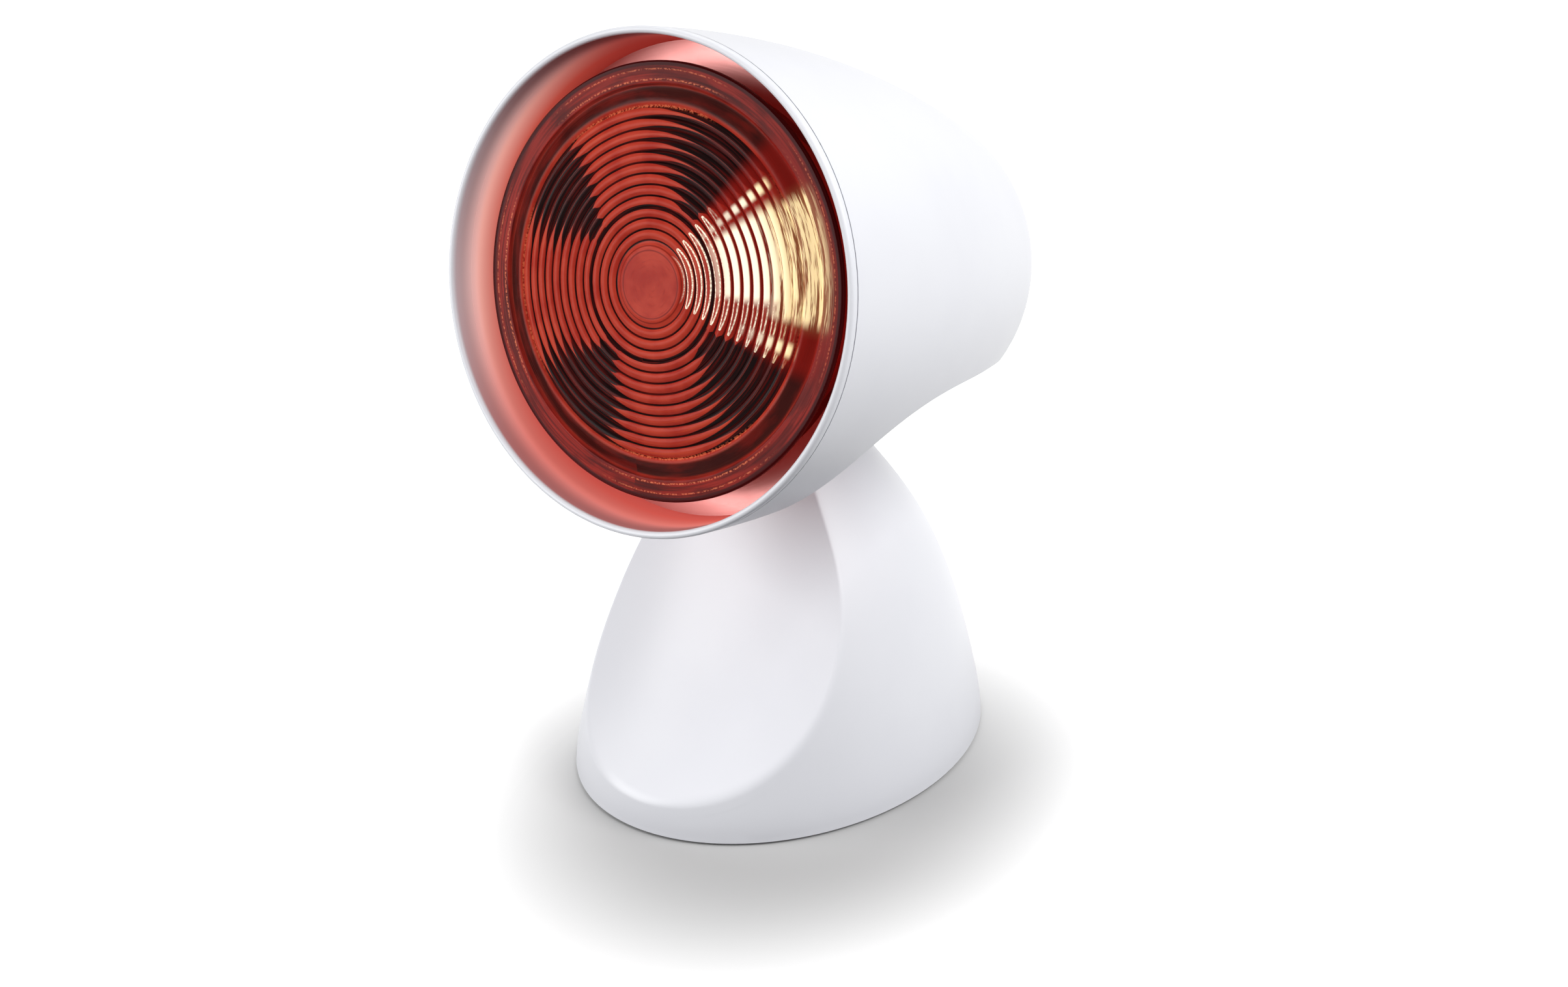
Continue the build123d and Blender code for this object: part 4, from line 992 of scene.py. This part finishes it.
def body_normals(points, near_skin=0.4):
    """Outward normals of the ogive, and whether each point lies on it."""
    x, y, z = (np.asarray(points) / MM).T
    half = body_half(z)
    on_skin = np.abs(np.hypot(x, y / DEPTH_RATIO) - half) < near_skin
    normal = np.stack([x / half ** 2, y / (DEPTH_RATIO * half) ** 2, -body_slope(z) / half], axis=1)
    return normal / np.linalg.norm(normal, axis=1)[:, None], on_skin & (z > 1.0)


print("half widths:", [round(float(body_half(np.array(v))), 2) for v in (20, 50, 65, 80, 90, 96, 102)])

# %% The panel's face
RIDGE_SOFT, PANEL_WALL, EDGE_GAP = 1.6, 1.0, 0.05


class HollowFace:
    """A face that is an arc seen from the side, and crowned across its width."""

    def __init__(self, line, crown):
        ends = np.array(line)
        self.crown = crown
        self.run = (ends[2] - ends[0]) / np.linalg.norm(ends[2] - ends[0])
        self.inward = np.array([self.run[1], -self.run[0]])
        self.axis_point = ends[1] + self.inward * crown
        squares = (ends ** 2).sum(axis=1)
        self.centre = np.linalg.solve(2 * (ends[1:] - ends[0]), squares[1:] - squares[0])
        self.radius = float(np.linalg.norm(ends[0] - self.centre))

    def back(self, x, z, inset=0.0):
        """How far back (y) the face lies at one place of the front, in millimetres."""
        y = np.zeros(np.broadcast(x, z).shape) - 40.0
        centre = self.centre + self.inward * inset
        for _ in range(60):
            along = (y - self.axis_point[0]) * self.run[0] + (z - self.axis_point[1]) * self.run[1]
            gap = self.axis_point + along[..., None] * self.run - centre
            reach = gap @ self.inward
            drop = np.maximum(self.radius ** 2 - (gap ** 2).sum(axis=-1) + reach ** 2, 0.0)
            roots = np.stack([reach + np.sqrt(drop), reach - np.sqrt(drop)])
            radius = np.take_along_axis(roots, np.abs(roots - self.crown).argmin(axis=0)[None], 0)[0]
            away = np.sqrt(np.maximum(radius ** 2 - x ** 2, 0.0))
            rise = (z - self.axis_point[1]) * self.inward[1]
            y = 0.5 * y + 0.5 * (self.axis_point[0] + (-away - rise) / self.inward[0])
        return y


panel_face = HollowFace(((-103.3, -10.0), (-34.0, 60.0), (-8.2, 130.0)), 120.0)
# where the solid housing ends
cut_face = HollowFace(((-96.3, -10.0), (-35.5, 60.0), (-8.6, 130.0)), 99.0)


def skin_back(x, z):
    """How far back the ogive's front lies."""
    half = body_half(z)
    return -DEPTH_RATIO * half * np.sqrt(np.maximum(1 - (x / half) ** 2, 0.0))


def front_back(x, z):
    """The softened meeting of both."""
    face, skin = panel_face.back(x, z), skin_back(x, z)
    blend = np.maximum(RIDGE_SOFT - np.abs(face - skin), 0.0) / RIDGE_SOFT
    return np.maximum(face, skin) + blend ** 2 * RIDGE_SOFT / 4


def reach_of(test, directions, centre, limit):
    """The distance along each ray at which test first fails."""
    low, high = np.zeros(len(directions)), np.full(len(directions), limit)
    for _ in range(40):
        middle = (low + high) / 2
        spot = centre + directions * middle[:, None]
        good = test(spot[:, 0], spot[:, 1])
        low, high = np.where(good, middle, low), np.where(good, high, middle)
    return low


heights = np.array([25.0, 60.0, 95.0])
print("panel face back at the middle:", panel_face.back(0 * heights, heights).round(2))

# %% [markdown]
# The housing keeps the solid's mesh, with three changes in the copy: above the waist its
# skin moves out to the fuller width, its front edge slides back along the skin to the panel's
# seam, and a thin rim joins it on top. The rim closes the body up to the shade, round the joint.

# %% The housing
SEAT = PANEL_WALL + EDGE_GAP
RIM_POINTS, RIM_ROWS, RIM_ROUND, RIM_CORNER = 192, 10, 0.4, 0.12
# how far from the old skin points still move out with it, how far from the new one they count as
# on it, how deep the cut behind the panel is, and how far from the middle the edge slides
SKIN_DEPTH, NEAR_SKIN, CUT_DEPTH, MIDDLE_STRIP = 5.0, 0.5, 4.0, 3.0


def slide_edge(p, early):
    """Halves along the skin, from each point to the widest place, until it meets the seam."""
    half = body_half(p[:, 2])
    turn_low = np.arctan2(p[:, 1] / DEPTH_RATIO, np.abs(p[:, 0]))
    turn_high = np.zeros(len(p))
    for _ in range(30):
        turn = (turn_low + turn_high) / 2
        x, y = half * np.cos(turn), half * DEPTH_RATIO * np.sin(turn)
        ahead = y < panel_face.back(x, p[:, 2], SEAT)
        turn_low, turn_high = np.where(ahead, turn, turn_low), np.where(ahead, turn_high, turn)
    p[early, 0] = (np.sign(p[:, 0]) * half * np.cos(turn_high))[early]
    p[early, 1] = (half * DEPTH_RATIO * np.sin(turn_high))[early]


def neck_rim():
    """A thin rim: rows of height and inset run up the outside, over the top and down the inside."""
    around = np.linspace(0, 2 * np.pi, RIM_POINTS, endpoint=False)
    rows = [(NECK_FLOOR - 1.6, 0.25)]
    rows += [(z, -0.02) for z in np.linspace(NECK_FLOOR - 1.5, NECK_TOP - RIM_ROUND, RIM_ROWS)]
    rows += [(NECK_TOP - RIM_CORNER, RIM_CORNER), (NECK_TOP, RIM_ROUND),
             (NECK_TOP, COLLAR_WALL - RIM_ROUND),
             (NECK_TOP - RIM_CORNER, COLLAR_WALL - RIM_CORNER),
             (NECK_TOP - RIM_ROUND, COLLAR_WALL), (NECK_FLOOR - 0.05, COLLAR_WALL)]
    points = []
    for z, inset in rows:
        half, level = float(body_half(np.array(z))), np.full(RIM_POINTS, z)
        x, y = (half - inset) * np.cos(around), (half * DEPTH_RATIO - inset) * np.sin(around)
        y = np.maximum(y, panel_face.back(x, level, SEAT + inset))
        points.append(np.stack([x, y, level], axis=1))

    def at(row, i):
        return row % len(rows) * RIM_POINTS + i % RIM_POINTS

    quads = [(at(r, i), at(r, i + 1), at(r + 1, i + 1), at(r + 1, i))
             for r in range(len(rows)) for i in range(RIM_POINTS)]
    rim = bpy.data.meshes.new("neck_rim")
    rim.from_pydata((np.concatenate(points) * MM).tolist(), [], quads)
    return rim


def housing_copy():
    piece = merged_copy("base_housing", "base_housing_smooth")
    mesh = piece.data
    p = points_of(mesh)
    z, under_neck = p[:, 2], p[:, 2] < NECK_FLOOR + 0.2
    old_half = solid_half(z)
    out = np.hypot(p[:, 0], p[:, 1] / DEPTH_RATIO) > old_half - SKIN_DEPTH
    out &= (z > 2.0) & under_neck
    p[out, :2] *= (body_half(p[out, 2]) / old_half[out])[:, None]
    width = np.hypot(p[:, 0], p[:, 1] / DEPTH_RATIO)
    on_skin = (np.abs(width - body_half(z)) < NEAR_SKIN) & under_neck
    early = on_skin & (p[:, 1] < panel_face.back(p[:, 0], z, SEAT)) & (p[:, 1] < 0)
    early &= np.abs(p[:, 0]) > MIDDLE_STRIP
    slide_edge(p, early)
    # the cut's own thickness follows the panel too
    seat = panel_face.back(p[:, 0], z, SEAT)
    thick = ~on_skin & (p[:, 1] < seat) & (p[:, 1] > seat - CUT_DEPTH) & (z > 3.0)
    thick &= z < NECK_FLOOR + 0.1
    p[thick, 1] = seat[thick]
    mesh.vertices.foreach_set("co", (p * MM).ravel())
    work = bmesh.new()
    work.from_mesh(mesh)
    work.from_mesh(neck_rim())
    work.to_mesh(mesh)
    work.free()
    smooth(mesh, 30)
    print("housing: widened", int(out.sum()), "points, slid", int(early.sum()), "at the seam")
    return piece


housing = housing_copy()
print("housing corners on the ogive:", set_true_normals(housing, body_normals, 55.0))
adopt(housing, "base_housing")

# %% The panel's mesh
RAYS, PANEL_MIDDLE, LONGEST_RAY = 288, np.array([0.0, 56.0]), 90.0
RIDGE_MARGIN, ROWS_INSIDE, ROWS_AT_RIDGE = 3.0, 33, 18
bearings = np.linspace(0, 2 * np.pi, RAYS, endpoint=False)
directions = np.stack([np.sin(bearings), np.cos(bearings)], axis=1)


def inside_face(x, z, face, inset=0.0):
    in_front = face.back(x, z, inset) > skin_back(x, z)
    return in_front & (z < NECK_TOP) & (np.abs(x) < body_half(z))


def inside_edge(x, z):
    """Within the drawn face or the solid's cut, whichever reaches further."""
    drawn = inside_face(x, z, panel_face, PANEL_WALL)
    return drawn | inside_face(x, z, cut_face, PANEL_WALL + 2 * EDGE_GAP)


def parts(count):
    """Equal steps from 0 to 1, without the 0."""
    return np.linspace(0, 1, count + 1)[None, 1:]


ridge = reach_of(lambda x, z: inside_face(x, z, panel_face), directions, PANEL_MIDDLE, LONGEST_RAY)
edge = reach_of(inside_edge, directions, PANEL_MIDDLE, LONGEST_RAY)
inner = np.maximum(ridge - RIDGE_MARGIN, 1.0)
reaches = np.concatenate([inner[:, None] * parts(ROWS_INSIDE),
                          inner[:, None] + (edge - inner)[:, None] * parts(ROWS_AT_RIDGE)], axis=1)
spots = PANEL_MIDDLE + directions[:, None, :] * reaches[..., None]
spots = np.concatenate([PANEL_MIDDLE[None], spots.reshape(-1, 2)])
front_points = np.stack([spots[:, 0], front_back(*spots.T), spots[:, 1]], axis=1)
DEEP, COUNT = reaches.shape[1], len(front_points)


def index_of(ray, row):
    return 1 + (ray % RAYS) * DEEP + row


faces = [(0, index_of(r, 0), index_of(r + 1, 0)) for r in range(RAYS)]
faces += [(index_of(r, k), index_of(r, k + 1), index_of(r + 1, k + 1), index_of(r + 1, k))
          for r in range(RAYS) for k in range(DEEP - 1)]
faces += [tuple(COUNT + i for i in reversed(face)) for face in faces]
for r in range(RAYS):
    here, there = index_of(r, DEEP - 1), index_of(r + 1, DEEP - 1)
    faces.append((here, COUNT + here, COUNT + there, there))
back_points = front_points + np.array([0.0, PANEL_WALL, 0.0])
mesh = bpy.data.meshes.new("front_panel_face")
mesh.from_pydata((np.concatenate([front_points, back_points]) * MM).tolist(), [], faces)
mesh.update()
if mesh.polygons[0].normal.y > 0:
    mesh.flip_normals()
smooth(mesh, 40)
panel = put("front_panel_face", mesh)


def panel_normals(points, small=0.02):
    """Normals of the softened front, from its slope either way."""
    x, y, z = (np.asarray(points) / MM).T
    slope_x = (front_back(x + small, z) - front_back(x - small, z)) / (2 * small)
    slope_z = (front_back(x, z + small) - front_back(x, z - small)) / (2 * small)
    normal = np.stack([slope_x, -np.ones_like(x), slope_z], axis=1)
    return normal / np.linalg.norm(normal, axis=1)[:, None], np.abs(y - front_back(x, z)) < 0.05


print("panel corners on its face:", set_true_normals(panel, panel_normals, 40.0))
adopt(panel, "front_panel")

# %% [markdown]
# ## Studio
#
# A pale floor, a white world and large soft lamps. Near the lamp the floor shows a grey pool of
# painted shade, centred a little in front and to the right, which also carries the shadow that the
# lamps cast. Further out it fades into white light of its own, so that it ends nowhere. Only camera
# and glossy rays see it so. To diffuse rays the floor is dark and the world dim.

# %% Floor
FLOOR_TONE, FLOOR_DARK, DIFFUSE_SKY = (0.50, 0.50, 0.50), (0.10, 0.10, 0.11), 0.22
# the floor's half size, then where the painted shade pool is centred, where it ends and where white
# light starts
FLOOR_HALF, SHADE_POOL_CENTRE, SHADE_POOL_END, WHITE_START = 6.0, (26.0, -30.0, 0.0), 36.0, 128.0


def make_floor():
    mesh = bpy.data.meshes.new("floor")
    corners = [(x * FLOOR_HALF, y * FLOOR_HALF, 0) for x, y in ((-1, -1), (1, -1), (1, 1), (-1, 1))]
    mesh.from_pydata(corners, [], [(0, 1, 2, 3)])
    floor = put("floor", mesh)
    material, f, shader = start_material("studio_floor")
    path = f.node("ShaderNodeLightPath")
    seen = f.most(path.outputs["Is Camera Ray"], path.outputs["Is Glossy Ray"])
    f.fill(shader, Base_Color=f.mix(seen, FLOOR_DARK, FLOOR_TONE), Roughness=0.9,
           Specular_IOR_Level=0.0, Emission_Color=(1, 1, 1, 1))
    # painted shade pool: grey near the lamp, centred in front and to the right, fading to white light
    x, y, _ = f.split(f.own_space(SHADE_POOL_CENTRE))
    y = y / DEPTH_RATIO
    far = f.step(f.math("SQRT", x * x + y * y), SHADE_POOL_END, WHITE_START, 0.0, 1.0)
    f.fill(shader, Emission_Strength=seen * far)
    mesh.materials.append(material)


def make_world():
    world = bpy.data.worlds.new("studio")
    bpy.context.scene.world = world
    world.use_nodes = True
    f = Fields(world.node_tree)
    path = f.node("ShaderNodeLightPath")
    mirrored = f.most(path.outputs["Is Glossy Ray"], path.outputs["Is Transmission Ray"])
    seen = f.most(path.outputs["Is Camera Ray"], mirrored)
    f.fill(world.node_tree.nodes["Background"], Color=(1, 1, 1, 1),
           Strength=f.step(seen, 0.0, 1.0, DIFFUSE_SKY, 1.0))


make_floor()
make_world()
print("floor and world ready")

# %% Lamps and camera
LAMPS = {  # place, height of the aim over the middle of the base, size, power
    "key_right": ((1.0, 0.1, 1.05), 0.13, 1.2, 20.5),
    "top_left_back": ((-0.45, 0.6, 1.0), 0.1, 0.5, 1.2),
    "front_left": ((-0.75, -1.0, 0.42), 0.12, 0.8, 11.8),
}
CAMERA_PLACE, CAMERA_AIM = (0.42702, -0.58752, 0.41981), (0.00048, 0.00035, 0.08445)


def stand(thing, place, aim):
    """Puts a lamp or the camera at one place, looking at another."""
    thing.location = place
    thing.rotation_euler = (Vector(aim) - Vector(place)).to_track_quat("-Z", "Y").to_euler()
    return thing


for name, (place, aim_height, size, power) in LAMPS.items():
    light = bpy.data.lights.new(name, "AREA")
    light.shape, light.size, light.size_y, light.energy = "RECTANGLE", size, size, power
    stand(put(name, light), place, (0, 0, aim_height))
view = bpy.data.cameras.new("camera")
view.lens, view.sensor_width, view.clip_start, view.clip_end = 58.73, 36.0, 0.01, 50
bpy.context.scene.camera = stand(put("camera", view), CAMERA_PLACE, CAMERA_AIM)
bpy.context.scene.view_settings.view_transform = "Standard"
print("lamps and camera placed")
